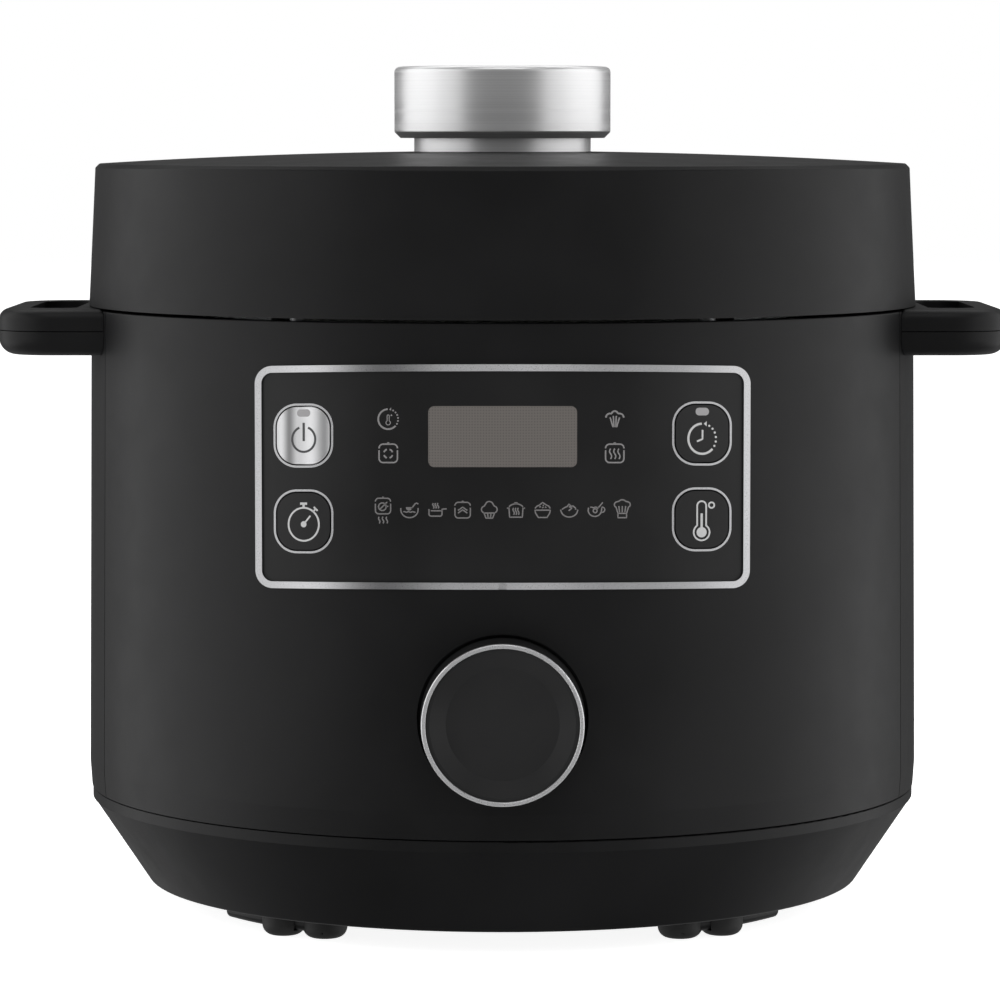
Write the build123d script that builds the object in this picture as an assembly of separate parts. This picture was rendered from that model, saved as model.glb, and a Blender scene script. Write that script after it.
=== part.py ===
from build123d import *
import math
import os

# Electric pressure cooker, millimetres, +Z up.
# The origin is on the cooker's vertical axis, at the surface it stands on.
# The front is -Y, the left side -X.

# ---- driving dimensions ---------------------------------------------------------------------
FRONT = 270.0                  # direction of the front, degrees round the vertical axis
WALL = 2.8                     # moulded wall of the housing and the lid
GAP = 0.4                      # gap round a moving piece

# base, housing and their seams
FLOOR_RISE = 8.2               # underside of the base above the table
CONE_FOOT_R = 130.2
CONE_TOP_R = 150.6
CONE_TOP_Z = 38.9
BAND_R = 150.9
BAND_TOP_Z = 42.8
HOUSING_FOOT_R = 151.2
HOUSING_FOOT_Z = 43.2
HOUSING_BULGE_R = 151.8
HOUSING_BULGE_Z = 52.0
HOUSING_TOP_R = 150.2
HOUSING_TOP_Z = 217.4
HOUSING_DRAFT = (HOUSING_BULGE_R - HOUSING_TOP_R) / (HOUSING_TOP_Z - HOUSING_BULGE_Z)
SEAM_AHEAD = 51.2              # the side seams stand this far in front of the centre line
SEAM_ANGLE = math.degrees(math.asin(SEAM_AHEAD / HOUSING_TOP_R))
SEAM_WIDTH_ANGLE = 0.2         # degrees

# pot, its cavity and the locking channel
POT_R = 106.0
POT_WALL = 1.6
POT_FOOT_Z = 50.0
POT_RIM_Z = 212.0
POT_FLANGE_R = 112.5
SEAT_Z = 209.7                 # top of the wall that the pot's flange rests on
CAVITY_R = 108.6               # inside of the inner shell
CHANNEL_IN_R = 113.8
CHANNEL_OUT_R = 132.0
CHANNEL_FLOOR_Z = 203.2
LOCK_R = 124.6                 # inner edge of the locking ring and the deck
LOCK_RING_Z = 210.5
LOCK_RING_T = 2.4
DECK_Z = 216.4

# lid
LID_FOOT_Z = 218.4
LID_FOOT_R = 151.0
LID_RIM_R = 148.5
LID_RIM_Z = 269.7
LID_CREST_Z = 274.2
LID_SHOULDER = 1.5             # size of the bevel around the top
LID_BASE_Z = 219.0
LID_BASE_T = 2.2
BOSS_CIRCLE_R = 139.0

# lock knob, cam disc and jaws
KNOB_R = 39.5
KNOB_NECK_R = 32.3
KNOB_FOOT_Z = 273.3
KNOB_GAP = 0.45                # around and under the neck, in its recess in the lid
KNOB_BEVEL_Z = 278.9
KNOB_DRUM_Z = 281.1
KNOB_TOP_Z = 304.8
SHAFT_R = 9.0
RUNNING_FIT = 0.05
LOCK_TURN = 40.0               # degrees from unlocked to locked
JAW_TRAVEL = 6.0
JAW_ANGLES = (90.0, 210.0, 330.0)
JAW_IN_R = 115.0
JAW_PLATE_T = 3.0
JAW_FOOT_OUT_R = 124.0
JAW_HALF_ARC = 17.0
JAW_ARM_Z = 224.0
JAW_ARM_T = 5.0
JAW_ARM_W = 14.0
CAM_PIN_R = 3.5
CAM_PIN_CIRCLE = 42.0          # where the pins stand when the lid is unlocked
CAM_DISC_R = 56.0
CAM_DISC_Z = 229.5
CAM_DISC_T = 2.5

# valves in the lid
VALVE_CIRCLE_R = 70.0
PRESSURE_VALVE_ANGLE = 150.0
FLOAT_VALVE_ANGLE = 30.0

# control panel; its outlines are drawn flat and pressed onto the curved housing
PANEL_Z = 166.0
PANEL_W = 168.4
PANEL_H = 75.6
PANEL_CORNER_R = 6.0
FRAME_W = 2.3
PANEL_DRAW_ANGLE = 4.4         # the outlines run slightly downwards into the housing
CAP_W = 18.2
CAP_H = 19.3
CAP_CORNER_R = 6.8
RING_GAP = 0.5                 # between a cap and its ring
RING_LINE = 0.7
CAP_COLUMN_X = 67.4
CAP_TRAVEL = 1.0
DISPLAY_W = 49.9
DISPLAY_H = 20.5
DISPLAY_Z = 179.6
DISPLAY_CORNER_R = 2.1
BOARD_Y = -117.0               # back face of the control board
BOARD_T = 1.6
BUTTONS = {
    "power_button": (-CAP_COLUMN_X, 180.1),
    "timer_button": (-CAP_COLUMN_X, 151.0),
    "delay_button": (CAP_COLUMN_X, 180.8),
    "temperature_button": (CAP_COLUMN_X, 151.7),
}

# dial
DIAL_Z = 84.2
DIAL_R = 27.25
DIAL_RING_W = 1.5
DIAL_DISC_R = 19.0
DIAL_FOOT_R = 27.8
SOCKET_R = 28.9
SOCKET_WALL = 1.2
SOCKET_FLOOR_Y = -146.0
REACH_Y = 166.0                # the dial in front and the cup behind reach equally far

# side handles
HANDLE_REACH_X = 181.5
HANDLE_HALF_W = 49.0
HANDLE_FOOT_Z = 201.4
HANDLE_SPLIT_Z = 210.0
HANDLE_TOP_Z = 218.0
HANDLE_CORNER_R = 20.0
HANDLE_LOW_ROUND = 6.0
HANDLE_HIGH_ROUND = 4.2
FINGER_IN_X = 153.5
FINGER_OUT_X = 170.5
FINGER_HALF_W = 33.0
HANDLE_SCREW_Y = (-41.0, 41.0)
HANDLE_SCREW_Z = 206.0

# rear: condensate cup and mains inlet
CUP_HALF_W = 30.0
CUP_FOOT_Z = 128.0
CUP_TOP_Z = 190.0
CUP_WALL = 1.6
INLET_Z = 74.0
INLET_PLATE_W = 52.0
INLET_PLATE_H = 32.0
INLET_FACE_Y = 147.4

os.makedirs("parts", exist_ok=True)


# ---- helpers --------------------------------------------------------------------------------
def save(name, *solids):
    """Write one node as a STEP file holding its separate solids."""
    shapes = [solid for item in solids for solid in item.solids()]
    export_step(Compound(children=shapes), f"parts/{name}.step")


def outline(points):
    """Closed outline of (x, y) points; a third number rounds that corner."""
    face = make_face(Polyline(*[(p[0], p[1]) for p in points], close=True))
    for x, y, radius in [p for p in points if len(p) == 3]:
        corner = face.vertices().sort_by_distance((x, y, 0))[0]
        face = fillet(corner, radius)
    return face


def turned(points, start=0.0, arc=360.0):
    """Solid of revolution about the cooker's axis from (radius, height) points."""
    return Rot(Z=start) * revolve(Plane.XZ * outline(points), Axis.Z, revolution_arc=arc)


def tube(r_in, r_out, z0, z1, start=0.0, arc=360.0):
    """Ring, or a sector of one, about the cooker's axis."""
    return turned([(r_in, z0), (r_out, z0), (r_out, z1), (r_in, z1)], start, arc)


def upright(x, y, radius, z0, z1):
    """Upright cylinder between two heights."""
    low = (Align.CENTER, Align.CENTER, Align.MIN)
    return Pos(x, y, z0) * Cylinder(radius, z1 - z0, align=low)


def block(x0, x1, y0, y1, z0, z1):
    """Box between two corners."""
    centre = Pos((x0 + x1) / 2, (y0 + y1) / 2, (z0 + z1) / 2)
    return centre * Box(x1 - x0, y1 - y0, z1 - z0)


def lengthwise(x, z, radius, y0, y1):
    """Cylinder along Y between two depths."""
    spin = Rot(X=-90)
    low = (Align.CENTER, Align.CENTER, Align.MIN)
    return Pos(x, y0, z) * spin * Cylinder(radius, y1 - y0, align=low)


def polar(radius, angle):
    """Point at a radius and an angle round the cooker's axis."""
    return (radius * math.cos(math.radians(angle)), radius * math.sin(math.radians(angle)))


def screw(x, y, head_z, shank_r, length, head_r, head_t, up=True):
    """Pan-head screw; its shank runs up or down from the head."""
    if up:
        head = upright(x, y, head_r, head_z, head_z + head_t)
        shank = upright(x, y, shank_r, head_z + head_t, head_z + head_t + length)
    else:
        head = upright(x, y, head_r, head_z - head_t, head_z)
        shank = upright(x, y, shank_r, head_z - head_t - length, head_z - head_t)
    drive = upright(x, y, head_r * 0.4, head_z - 0.1 if up else head_z - head_t * 0.5,
                    head_z + head_t * 0.5 if up else head_z + 0.1)
    return head + shank - drive


def housing_radius(z):
    """Outer radius of the housing above its widest line."""
    return HOUSING_BULGE_R - HOUSING_DRAFT * (z - HOUSING_BULGE_Z)


def skin(outset_out, outset_in, z0=HOUSING_BULGE_Z + 1, z1=HOUSING_TOP_Z, start=0.0, arc=360.0):
    """Layer parallel to the housing's drafted face, between two outsets from it."""
    return turned([
        (housing_radius(z0) + outset_in, z0),
        (housing_radius(z0) + outset_out, z0),
        (housing_radius(z1) + outset_out, z1),
        (housing_radius(z1) + outset_in, z1),
    ], start, arc)


# ---- the control panel's outlines -----------------------------------------------------------
DRAW = Vector(0, math.cos(math.radians(PANEL_DRAW_ANGLE)), -math.sin(math.radians(PANEL_DRAW_ANGLE)))
PANEL_PLANE = Plane(
    origin=(0, -housing_radius(PANEL_Z), 0),
    x_dir=(1, 0, 0),
    z_dir=(0, -1, 0),
)
DRAW_AHEAD = 6.0
DRAW_DEPTH = 60.0


def pressed(x, z, width, height, corner_r):
    """Prism of a rounded rectangle, run into the housing along the draw direction."""
    shape = Pos(x, z) * RectangleRounded(width, height, corner_r)
    face = Pos(-DRAW * DRAW_AHEAD) * (PANEL_PLANE * shape)
    return extrude(face, amount=DRAW_DEPTH, dir=DRAW)


def cap_prism(x, z, margin):
    """Prism of a button's outline, grown by a margin."""
    return pressed(x, z, CAP_W + 2 * margin, CAP_H + 2 * margin, CAP_CORNER_R + margin)


FRAME_PRISM = pressed(0, PANEL_Z, PANEL_W, PANEL_H, PANEL_CORNER_R)
FASCIA_PRISM = pressed(0, PANEL_Z, PANEL_W - 2 * FRAME_W, PANEL_H - 2 * FRAME_W,
                       PANEL_CORNER_R - FRAME_W)
FRONT_SECTOR = {"start": 180.0, "arc": 180.0}


# ---- base -----------------------------------------------------------------------------------
def foot_angles():
    """Directions of the four feet round the cooker's axis."""
    return (46.0, 134.0, 226.0, 314.0)


def make_base_shell():
    """Tapered tray with a flat floor, foot pods, cooling slots and screw bosses."""
    floor_t = 2.6
    tray = turned([
        (0.0, FLOOR_RISE),
        (CONE_FOOT_R, FLOOR_RISE, 1.6),
        (CONE_TOP_R, CONE_TOP_Z),
        (CONE_TOP_R - WALL, CONE_TOP_Z),
        (CONE_FOOT_R - WALL, FLOOR_RISE + floor_t, 1.6),
        (0.0, FLOOR_RISE + floor_t),
    ])
    for angle in foot_angles():
        tray += turned([
            (106.5, 2.2), (118.5, 2.2, 2.5), (118.5, FLOOR_RISE), (106.5, FLOOR_RISE),
        ], angle - 12.0, 24.0)
    slot = Pos(0, 0, FLOOR_RISE) * Box(46.0, 3.2, 12.0)
    for row in range(9):
        tray -= Pos(0, -72.0 + row * 8.0, 0) * slot
    for angle in (0.0, 90.0, 180.0, 270.0):
        x, y = polar(96.0, angle)
        tray += upright(x, y, 5.0, FLOOR_RISE + floor_t, 29.6)
        tray -= upright(x, y, 1.55, FLOOR_RISE - 1, 29.7)
        tray -= upright(x, y, 3.6, FLOOR_RISE - 1, FLOOR_RISE + 1.9)
    return tray


def make_trim_band():
    """Narrow band between the base and the housing, with a locating lip inside."""
    return turned([
        (BAND_R, CONE_TOP_Z + 0.05), (BAND_R, BAND_TOP_Z, 0.4), (147.6, BAND_TOP_Z),
        (147.6, 48.0), (145.6, 48.0), (145.6, CONE_TOP_Z + 0.05),
    ])


def make_rubber_feet():
    """Three round-bottomed pads under each foot pod."""
    pads = []
    for angle in foot_angles():
        for step, circle, pad_r in ((-13.7, 103.0, 5.5), (2.5, 116.0, 7.6), (10.2, 111.7, 7.8)):
            side = 1 if angle in (46.0, 226.0) else -1
            x, y = polar(circle, angle + side * step)
            pad = upright(x, y, pad_r, 0.0, FLOOR_RISE)
            pad = fillet(pad.edges().group_by(Axis.Z)[0], 3.8)
            pods = tube(106.5, 118.5, 2.2, FLOOR_RISE + 1, angle - 12.0, 24.0)
            pads.append(pad - pods)
    return pads


def make_base_screws():
    """Four screws that draw the base up to the inner shell."""
    return [screw(*polar(96.0, angle), FLOOR_RISE, 1.5, 20.0, 3.4, 1.7)
            for angle in (0.0, 90.0, 180.0, 270.0)]


# ---- housing --------------------------------------------------------------------------------
def housing_wall(start, arc):
    """Sector of the drafted housing wall with a rounded-in foot."""
    return turned([
        (HOUSING_FOOT_R, HOUSING_FOOT_Z),
        (HOUSING_BULGE_R, HOUSING_BULGE_Z, 6.0),
        (HOUSING_TOP_R, HOUSING_TOP_Z, 0.6),
        (HOUSING_TOP_R - WALL, HOUSING_TOP_Z),
        (HOUSING_BULGE_R - WALL, HOUSING_BULGE_Z),
        (HOUSING_FOOT_R - WALL, HOUSING_FOOT_Z),
    ], start, arc)


def make_front_housing():
    """Front wall with the openings for the control panel and the dial."""
    wall = housing_wall(180.0 + SEAM_ANGLE, 180.0 - 2 * SEAM_ANGLE)
    wall -= FRAME_PRISM
    return wall - lengthwise(0, DIAL_Z, SOCKET_R, -170.0, -130.0)


def make_rear_housing():
    """Rear wall with the inlet's opening, the cup's rails and the condensate spout."""
    start = -SEAM_ANGLE + SEAM_WIDTH_ANGLE
    wall = housing_wall(start, 180.0 + 2 * SEAM_ANGLE - 2 * SEAM_WIDTH_ANGLE)
    half_w = INLET_PLATE_W / 2
    half_h = INLET_PLATE_H / 2
    wall -= block(-half_w, half_w, 130.0, 170.0, INLET_Z - half_h, INLET_Z + half_h)
    for side in (-1, 1):
        for y in HANDLE_SCREW_Y:
            wall -= crosswise(side, 130.0, 160.0, y, HANDLE_SCREW_Z, 1.8)
    for rail in make_cup_rails():
        wall += rail
    wall += block(-10.8, 10.8, 148.0, 160.0, 194.2, 201.8)
    wall -= block(-8.6, 8.6, 143.0, 157.8, 196.2, 200.2)
    return wall - block(-8.6, 8.6, 153.0, 157.8, 190.0, 198.0)


def make_top_deck():
    """Ring that closes the housing's top: drip gutter, locking channel and pot seat."""
    deck = turned([
        (147.2, 213.0), (147.2, DECK_Z), (144.5, DECK_Z), (144.5, 214.6),
        (139.5, 214.6), (139.5, DECK_Z), (LOCK_R, DECK_Z, 0.8), (LOCK_R, 213.0),
        (CHANNEL_OUT_R, 213.0), (CHANNEL_OUT_R, CHANNEL_FLOOR_Z, 1.5),
        (CHANNEL_IN_R, CHANNEL_FLOOR_Z), (CHANNEL_IN_R, SEAT_Z, 0.5),
        (CAVITY_R + 0.9, SEAT_Z, 0.5), (CAVITY_R + 0.9, 201.0),
        (CHANNEL_OUT_R + 2.2, 201.0), (CHANNEL_OUT_R + 2.2, 213.0),
    ])
    return deck - upright(0, 142.0, 2.4, 212.0, 216.0)


def make_lock_ring():
    """Steel ring under the deck that the lid's jaws catch."""
    return tube(LOCK_R, CHANNEL_OUT_R - 0.1, LOCK_RING_Z, LOCK_RING_Z + LOCK_RING_T)


def make_inner_shell():
    """Sheet-metal can round the pot, with a floor under the heating plate."""
    sheet = 0.8
    floor_z = 30.0
    return turned([
        (44.0, floor_z), (CAVITY_R + sheet, floor_z, 2.0), (CAVITY_R + sheet, 200.9),
        (CAVITY_R, 200.9), (CAVITY_R, floor_z + sheet, 1.2), (44.0, floor_z + sheet),
    ])


def make_heating_plate():
    """Cast plate that the pot stands on, with a channel for the element."""
    plate = turned([
        (14.0, 38.0), (86.0, 38.0, 2.0), (90.0, 44.0, 2.0), (90.0, 49.6, 1.0), (14.0, 49.6),
    ])
    legs = [upright(*polar(78.0, angle), 4.0, 30.9, 38.5) for angle in (45.0, 165.0, 285.0)]
    for leg in legs:
        plate += leg
    ring = Pos(0, 0, 38.0) * Torus(64.0, 4.2)
    return plate - ring


def make_heating_element():
    """Tubular element pressed into the underside of the heating plate."""
    ring = Pos(0, 0, 38.0) * Torus(64.0, 4.0)
    ring -= Pos(64.0, 0, 38.0) * Box(20.0, 16.0, 20.0)
    for y in (-8.0, 8.0):
        ring += Pos(63.5, y, 35.5) * Cylinder(1.6, 6.0)
    return ring


def make_temperature_sensor():
    """Sprung probe that touches the pot's base."""
    probe = turned([
        (0.0, 41.0), (9.0, 41.0), (9.0, 49.7, 1.5), (0.0, 49.7),
    ])
    stem = upright(0, 0, 4.0, 27.0, 41.5)
    return probe + stem


def make_sensor_spring():
    """Coil spring under the probe's cap."""
    path = Helix(pitch=2.6, height=7.8, radius=6.0, center=(0, 0, 32.4))
    section = Plane(origin=path @ 0, z_dir=path % 0) * Circle(0.5)
    return sweep(section, path=path, is_frenet=True)


def make_sensor_bracket():
    """Cross-piece under the inner shell that guides the probe's stem."""
    bar = block(-52.0, 52.0, -9.0, 9.0, 28.3, 29.9)
    collar = upright(0, 0, 8.5, 28.3, 31.6)
    return bar + collar - upright(0, 0, 4.0 + GAP, 20.0, 40.0)


# ---- control panel --------------------------------------------------------------------------
def make_panel_frame():
    """Bright frame round the panel, with a small pointer notch over the dial."""
    ring = skin(0.6, -2.4, **FRONT_SECTOR) & (FRAME_PRISM - FASCIA_PRISM)
    notch_z = PANEL_Z - PANEL_H / 2
    notch = pressed(0, notch_z + 0.6, 2.6, 3.6, 1.2)
    return ring - (notch & skin(2.0, -0.4, **FRONT_SECTOR))


def make_panel_fascia():
    """Black plate inside the frame, open for the buttons, their rings and the display."""
    plate = skin(-0.1, -2.2, **FRONT_SECTOR) & FASCIA_PRISM
    for x, z in BUTTONS.values():
        plate -= cap_prism(x, z, RING_GAP + RING_LINE)
    return plate - pressed(0, DISPLAY_Z, DISPLAY_W, DISPLAY_H, DISPLAY_CORNER_R)


def make_button_rings():
    """Bright outline ring set round each button."""
    rings = []
    layer = skin(0.0, -2.2, **FRONT_SECTOR)
    for x, z in BUTTONS.values():
        rings.append(layer & (cap_prism(x, z, RING_GAP + RING_LINE) - cap_prism(x, z, RING_GAP)))
    return rings


def make_display_window():
    """Smoked window over the display."""
    outline_prism = pressed(0, DISPLAY_Z, DISPLAY_W, DISPLAY_H, DISPLAY_CORNER_R)
    return skin(-0.15, -1.6, **FRONT_SECTOR) & outline_prism


def make_panel_carrier():
    """Backing plate behind the fascia that guides the buttons and holds the display."""
    plate = skin(-2.9, -5.0, **FRONT_SECTOR)
    plate &= pressed(0, PANEL_Z, PANEL_W + 8.0, PANEL_H + 8.0, PANEL_CORNER_R + 2.0)
    for x, z in BUTTONS.values():
        plate -= cap_prism(x, z, GAP)
    return plate - pressed(0, DISPLAY_Z, DISPLAY_W + 4.6, DISPLAY_H + 4.6, 2.0)


def make_button(x, z):
    """Push button: cap, retaining flange behind the carrier and plunger."""
    flange_margin = 1.7
    cap = skin(0.4, -7.2, **FRONT_SECTOR) & cap_prism(x, z, 0.0)
    flange = skin(-5.5, -7.2, **FRONT_SECTOR) & cap_prism(x, z, flange_margin)
    depth = math.sqrt(housing_radius(z) ** 2 - x ** 2)
    plunger_z = z - (housing_radius(PANEL_Z) - depth) * math.tan(math.radians(PANEL_DRAW_ANGLE)) - 0.5
    plunger = lengthwise(x, plunger_z, 2.2, -depth + 5.5, switch_face_y() - CAP_TRAVEL - GAP)
    return cap + flange + plunger


def switch_face_y():
    """Front face of the push switches on the control board."""
    return BOARD_Y - BOARD_T - 4.3


def make_push_switches():
    """Small switches on the control board, one behind each button."""
    switches = []
    for x, z in BUTTONS.values():
        base = block(x - 3.0, x + 3.0, BOARD_Y - BOARD_T - 3.5, BOARD_Y - BOARD_T, z - 5.2, z + 0.8)
        switches.append(base + lengthwise(x, z - 2.2, 1.6, switch_face_y(), BOARD_Y - BOARD_T - 3.5))
    return switches


def make_display_module():
    """Display block behind the window."""
    half_w = DISPLAY_W / 2 + 1.0
    half_h = DISPLAY_H / 2 + 0.6
    return block(-half_w, half_w, -145.6, -138.0, DISPLAY_Z - half_h, DISPLAY_Z + half_h)


def make_control_board():
    """Upright circuit board behind the panel and the dial."""
    board = block(-73.0, 73.0, BOARD_Y - BOARD_T, BOARD_Y, 64.0, 198.0)
    for x in (-68.0, 68.0):
        for z in (69.0, 193.0):
            board -= lengthwise(x, z, 1.7, BOARD_Y - 5.0, BOARD_Y + 1.0)
    return board


def make_control_chip():
    """Controller chip on the board."""
    return block(-7.0, 7.0, BOARD_Y - BOARD_T - 1.6, BOARD_Y - BOARD_T, 128.0, 142.0)


# ---- dial -----------------------------------------------------------------------------------
def make_dial_socket():
    """Round well in the housing that the dial turns in."""
    outer_r = SOCKET_R + SOCKET_WALL
    floor = lengthwise(0, DIAL_Z, outer_r, SOCKET_FLOOR_Y, SOCKET_FLOOR_Y + 2.5)
    wall = lengthwise(0, DIAL_Z, outer_r, -165.0, SOCKET_FLOOR_Y)
    wall -= lengthwise(0, DIAL_Z, SOCKET_R, -166.0, SOCKET_FLOOR_Y + 1)
    inside_r = WALL + 0.05
    wall &= turned([
        (100.0, 50.0), (HOUSING_BULGE_R - inside_r, 50.0),
        (housing_radius(120.0) - inside_r, 120.0), (100.0, 120.0),
    ])
    floor &= turned([
        (100.0, 50.0), (HOUSING_BULGE_R - inside_r, 50.0),
        (housing_radius(120.0) - inside_r, 120.0), (100.0, 120.0),
    ])
    return wall + floor - lengthwise(0, DIAL_Z, 3.0 + GAP, -160.0, -130.0)


def make_dial_knob():
    """Cup-shaped knob, with a boss that holds the shaft."""
    profile = outline([
        (6.0, 147.2), (6.0, 159.0), (DIAL_DISC_R, 161.0), (24.0, 163.8),
        (24.0, 164.4), (DIAL_R, 164.4), (DIAL_FOOT_R, 147.2), (24.6, 147.2),
        (24.6, 158.0), (9.0, 157.0), (9.0, 147.2),
    ])
    return dial_turned(profile)


def dial_turned(profile):
    """Revolve an outline of (radius, reach) points about the dial's axis."""
    plane = Plane(origin=(0, 0, DIAL_Z), x_dir=(1, 0, 0), z_dir=(0, 0, 1))
    flipped = mirror(plane * profile, Plane.XZ)
    return revolve(flipped, Axis((0, 0, DIAL_Z), (0, 1, 0)))


def make_dial_ring():
    """Bright ring round the dial's face."""
    return dial_turned(outline([
        (DIAL_R - DIAL_RING_W, 164.5), (DIAL_R, 164.5), (DIAL_R, REACH_Y, 0.5),
        (DIAL_R - DIAL_RING_W, REACH_Y, 0.3),
    ]))


def make_dial_face():
    """Dished face: a flat disc with a sloping border."""
    inner = DIAL_R - DIAL_RING_W - 0.1
    return dial_turned(outline([
        (0.0, 161.1), (DIAL_DISC_R, 161.1), (23.9, 163.9), (23.9, 164.5), (inner, 164.5),
        (inner, 165.4), (24.4, 165.4), (DIAL_DISC_R, 162.6), (0.0, 162.6),
    ]))


def make_dial_shaft():
    """Steel shaft from the dial to the encoder."""
    return lengthwise(0, DIAL_Z, 3.0, -161.0, -125.7)


def make_dial_hub():
    """Collar that grips the shaft inside the dial."""
    collar = lengthwise(0, DIAL_Z, 5.9, -158.5, -148.0)
    return collar - lengthwise(0, DIAL_Z, 3.0, -170.0, -100.0)


def make_encoder():
    """Rotary encoder on the control board."""
    body = block(-6.5, 6.5, -125.0, BOARD_Y - BOARD_T, DIAL_Z - 6.5, DIAL_Z + 6.5)
    collar = lengthwise(0, DIAL_Z, 4.6, -132.0, -125.0)
    return body + collar - lengthwise(0, DIAL_Z, 3.0 + RUNNING_FIT, -140.0, -125.2)


# ---- electrics in the base ------------------------------------------------------------------
def make_power_board():
    """Circuit board on the base's floor."""
    board = block(-46.0, 46.0, 24.0, 84.0, 15.0, 16.6)
    for x in (-41.0, 41.0):
        for y in (29.0, 79.0):
            board += upright(x, y, 2.8, FLOOR_RISE + 2.6, 15.0)
    return board


def make_relay():
    """Relay that switches the heating element."""
    return block(-38.0, -19.0, 34.0, 50.0, 16.6, 27.6)


def make_transformer():
    """Small transformer of the low-voltage supply."""
    core = block(6.0, 34.0, 40.0, 68.0, 16.6, 18.8)
    return core + upright(20.0, 54.0, 11.0, 18.8, 27.0)


def make_capacitors():
    """Two supply capacitors on the power board."""
    return [upright(x, 74.0, 4.0, 16.6, 27.0) for x in (-16.0, -4.0)]


def make_thermal_fuse():
    """Fuse clipped under the heating plate."""
    return Pos(0, -36.0, 36.0) * Rot(Y=90) * Cylinder(1.9, 14.0)


# ---- rear -----------------------------------------------------------------------------------
def make_inlet_plate():
    """Flat plate set into the rear wall round the mains inlet."""
    half_w = INLET_PLATE_W / 2 - 0.1
    half_h = INLET_PLATE_H / 2 - 0.1
    plate = block(-half_w, half_w, INLET_FACE_Y - 2.4, INLET_FACE_Y, INLET_Z - half_h, INLET_Z + half_h)
    return plate - block(-14.1, 14.1, 140.0, 150.0, INLET_Z - 10.1, INLET_Z + 10.1)


def make_mains_inlet():
    """Standard three-pin appliance inlet: flanged body with a keyed well."""
    body = block(-14.0, 14.0, 125.0, INLET_FACE_Y, INLET_Z - 10.0, INLET_Z + 10.0)
    rim = block(-15.6, 15.6, INLET_FACE_Y, INLET_FACE_Y + 1.4, INLET_Z - 11.6, INLET_Z + 11.6)
    rim = fillet(rim.edges().filter_by(Axis.Y), 2.0)
    well = Plane.XZ * outline([
        (-12.0, -8.2, 1.0), (12.0, -8.2, 1.0), (12.0, 4.4), (8.2, 8.2), (-8.2, 8.2), (-12.0, 4.4),
    ])
    return body + rim - Pos(0, 150.0, INLET_Z) * extrude(well, amount=18.0)


def make_inlet_pins():
    """Line, neutral and earth pins."""
    pins = []
    for x, z in ((-7.0, -1.6), (7.0, -1.6), (0.0, 2.4)):
        pins.append(block(x - 1.0, x + 1.0, 132.0, 146.0, INLET_Z + z - 2.0, INLET_Z + z + 2.0))
    return pins


def cup_outline(inset):
    """Plan of the condensate cup, its rear corners rounded, inset by the given amount."""
    half_w = CUP_HALF_W - inset
    reach = REACH_Y - inset
    return outline([(-half_w, 140.0), (half_w, 140.0), (half_w, reach, 6.0 - inset),
                    (-half_w, reach, 6.0 - inset)])


def make_condensate_cup():
    """Open cup that hangs behind the housing and pulls straight back."""
    height = CUP_TOP_Z - CUP_FOOT_Z
    body = Pos(0, 0, CUP_FOOT_Z) * extrude(cup_outline(0.0), amount=height)
    hollow = Pos(0, 0, CUP_FOOT_Z + CUP_WALL) * extrude(cup_outline(CUP_WALL), amount=height)
    near = turned([(0.0, 100.0), (152.3, 100.0), (152.3, 200.0), (0.0, 200.0)])
    near_in = turned([(0.0, 100.0), (153.9, 100.0), (153.9, 200.0), (0.0, 200.0)])
    return body - near - (hollow - near_in)


def make_cup_rails():
    """Two rails on the housing that the cup slides on to."""
    rails = []
    for side in (-1, 1):
        near_x = side * (CUP_HALF_W + 0.5)
        far_x = side * (CUP_HALF_W + 3.5)
        rail = block(min(near_x, far_x), max(near_x, far_x), 140.0, 157.0, 172.0, 182.0)
        rails.append(rail - turned([(0.0, 160.0), (housing_radius(177.0) - 1.0, 160.0),
                                    (housing_radius(177.0) - 1.0, 190.0), (0.0, 190.0)]))
    return rails


# ---- side handles ---------------------------------------------------------------------------
def handle_plan():
    """Plan of the right-hand handle: rounded outside, with a finger slot."""
    plan = outline([
        (135.0, -HANDLE_HALF_W), (HANDLE_REACH_X, -HANDLE_HALF_W, HANDLE_CORNER_R),
        (HANDLE_REACH_X, HANDLE_HALF_W, HANDLE_CORNER_R), (135.0, HANDLE_HALF_W),
    ])
    slot = outline([
        (FINGER_IN_X, -FINGER_HALF_W, 5.0), (FINGER_OUT_X, -FINGER_HALF_W, 7.0),
        (FINGER_OUT_X, FINGER_HALF_W, 7.0), (FINGER_IN_X, FINGER_HALF_W, 5.0),
    ])
    return plan - slot


def make_handle(z0, z1, low_round, high_round):
    """One storey of the right-hand handle, hollowed to fit round the housing."""
    solid = Pos(0, 0, z0) * extrude(handle_plan(), amount=z1 - z0)
    near = turned([
        (0.0, z0 - 5.0), (housing_radius(z0 - 5.0) + 0.1, z0 - 5.0),
        (housing_radius(z1 + 5.0) + 0.1, z1 + 5.0), (0.0, z1 + 5.0),
    ])
    solid -= near
    outer_edges = [edge for edge in solid.edges() if edge.center().X > FINGER_OUT_X + 0.5]
    if low_round:
        low = [edge for edge in outer_edges if abs(edge.center().Z - z0) < 0.1]
        solid = fillet(low, low_round)
    if high_round:
        high = [edge for edge in solid.edges()
                if abs(edge.center().Z - z1) < 0.1 and edge.center().X > FINGER_OUT_X + 0.5]
        solid = fillet(high, high_round)
    return solid


def crosswise(side, x0, x1, y, z, radius):
    """Cylinder along X between two distances from the centre, on one side."""
    return Pos(side * (x0 + x1) / 2, y, z) * Rot(Y=90) * Cylinder(radius, x1 - x0)


def handle_screw(side, y):
    """Screw from inside the housing into a handle's foot."""
    head = crosswise(side, 138.8, 140.8, y, HANDLE_SCREW_Z, 3.2)
    return head + crosswise(side, 140.8, 151.5, y, HANDLE_SCREW_Z, 1.5)


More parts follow.
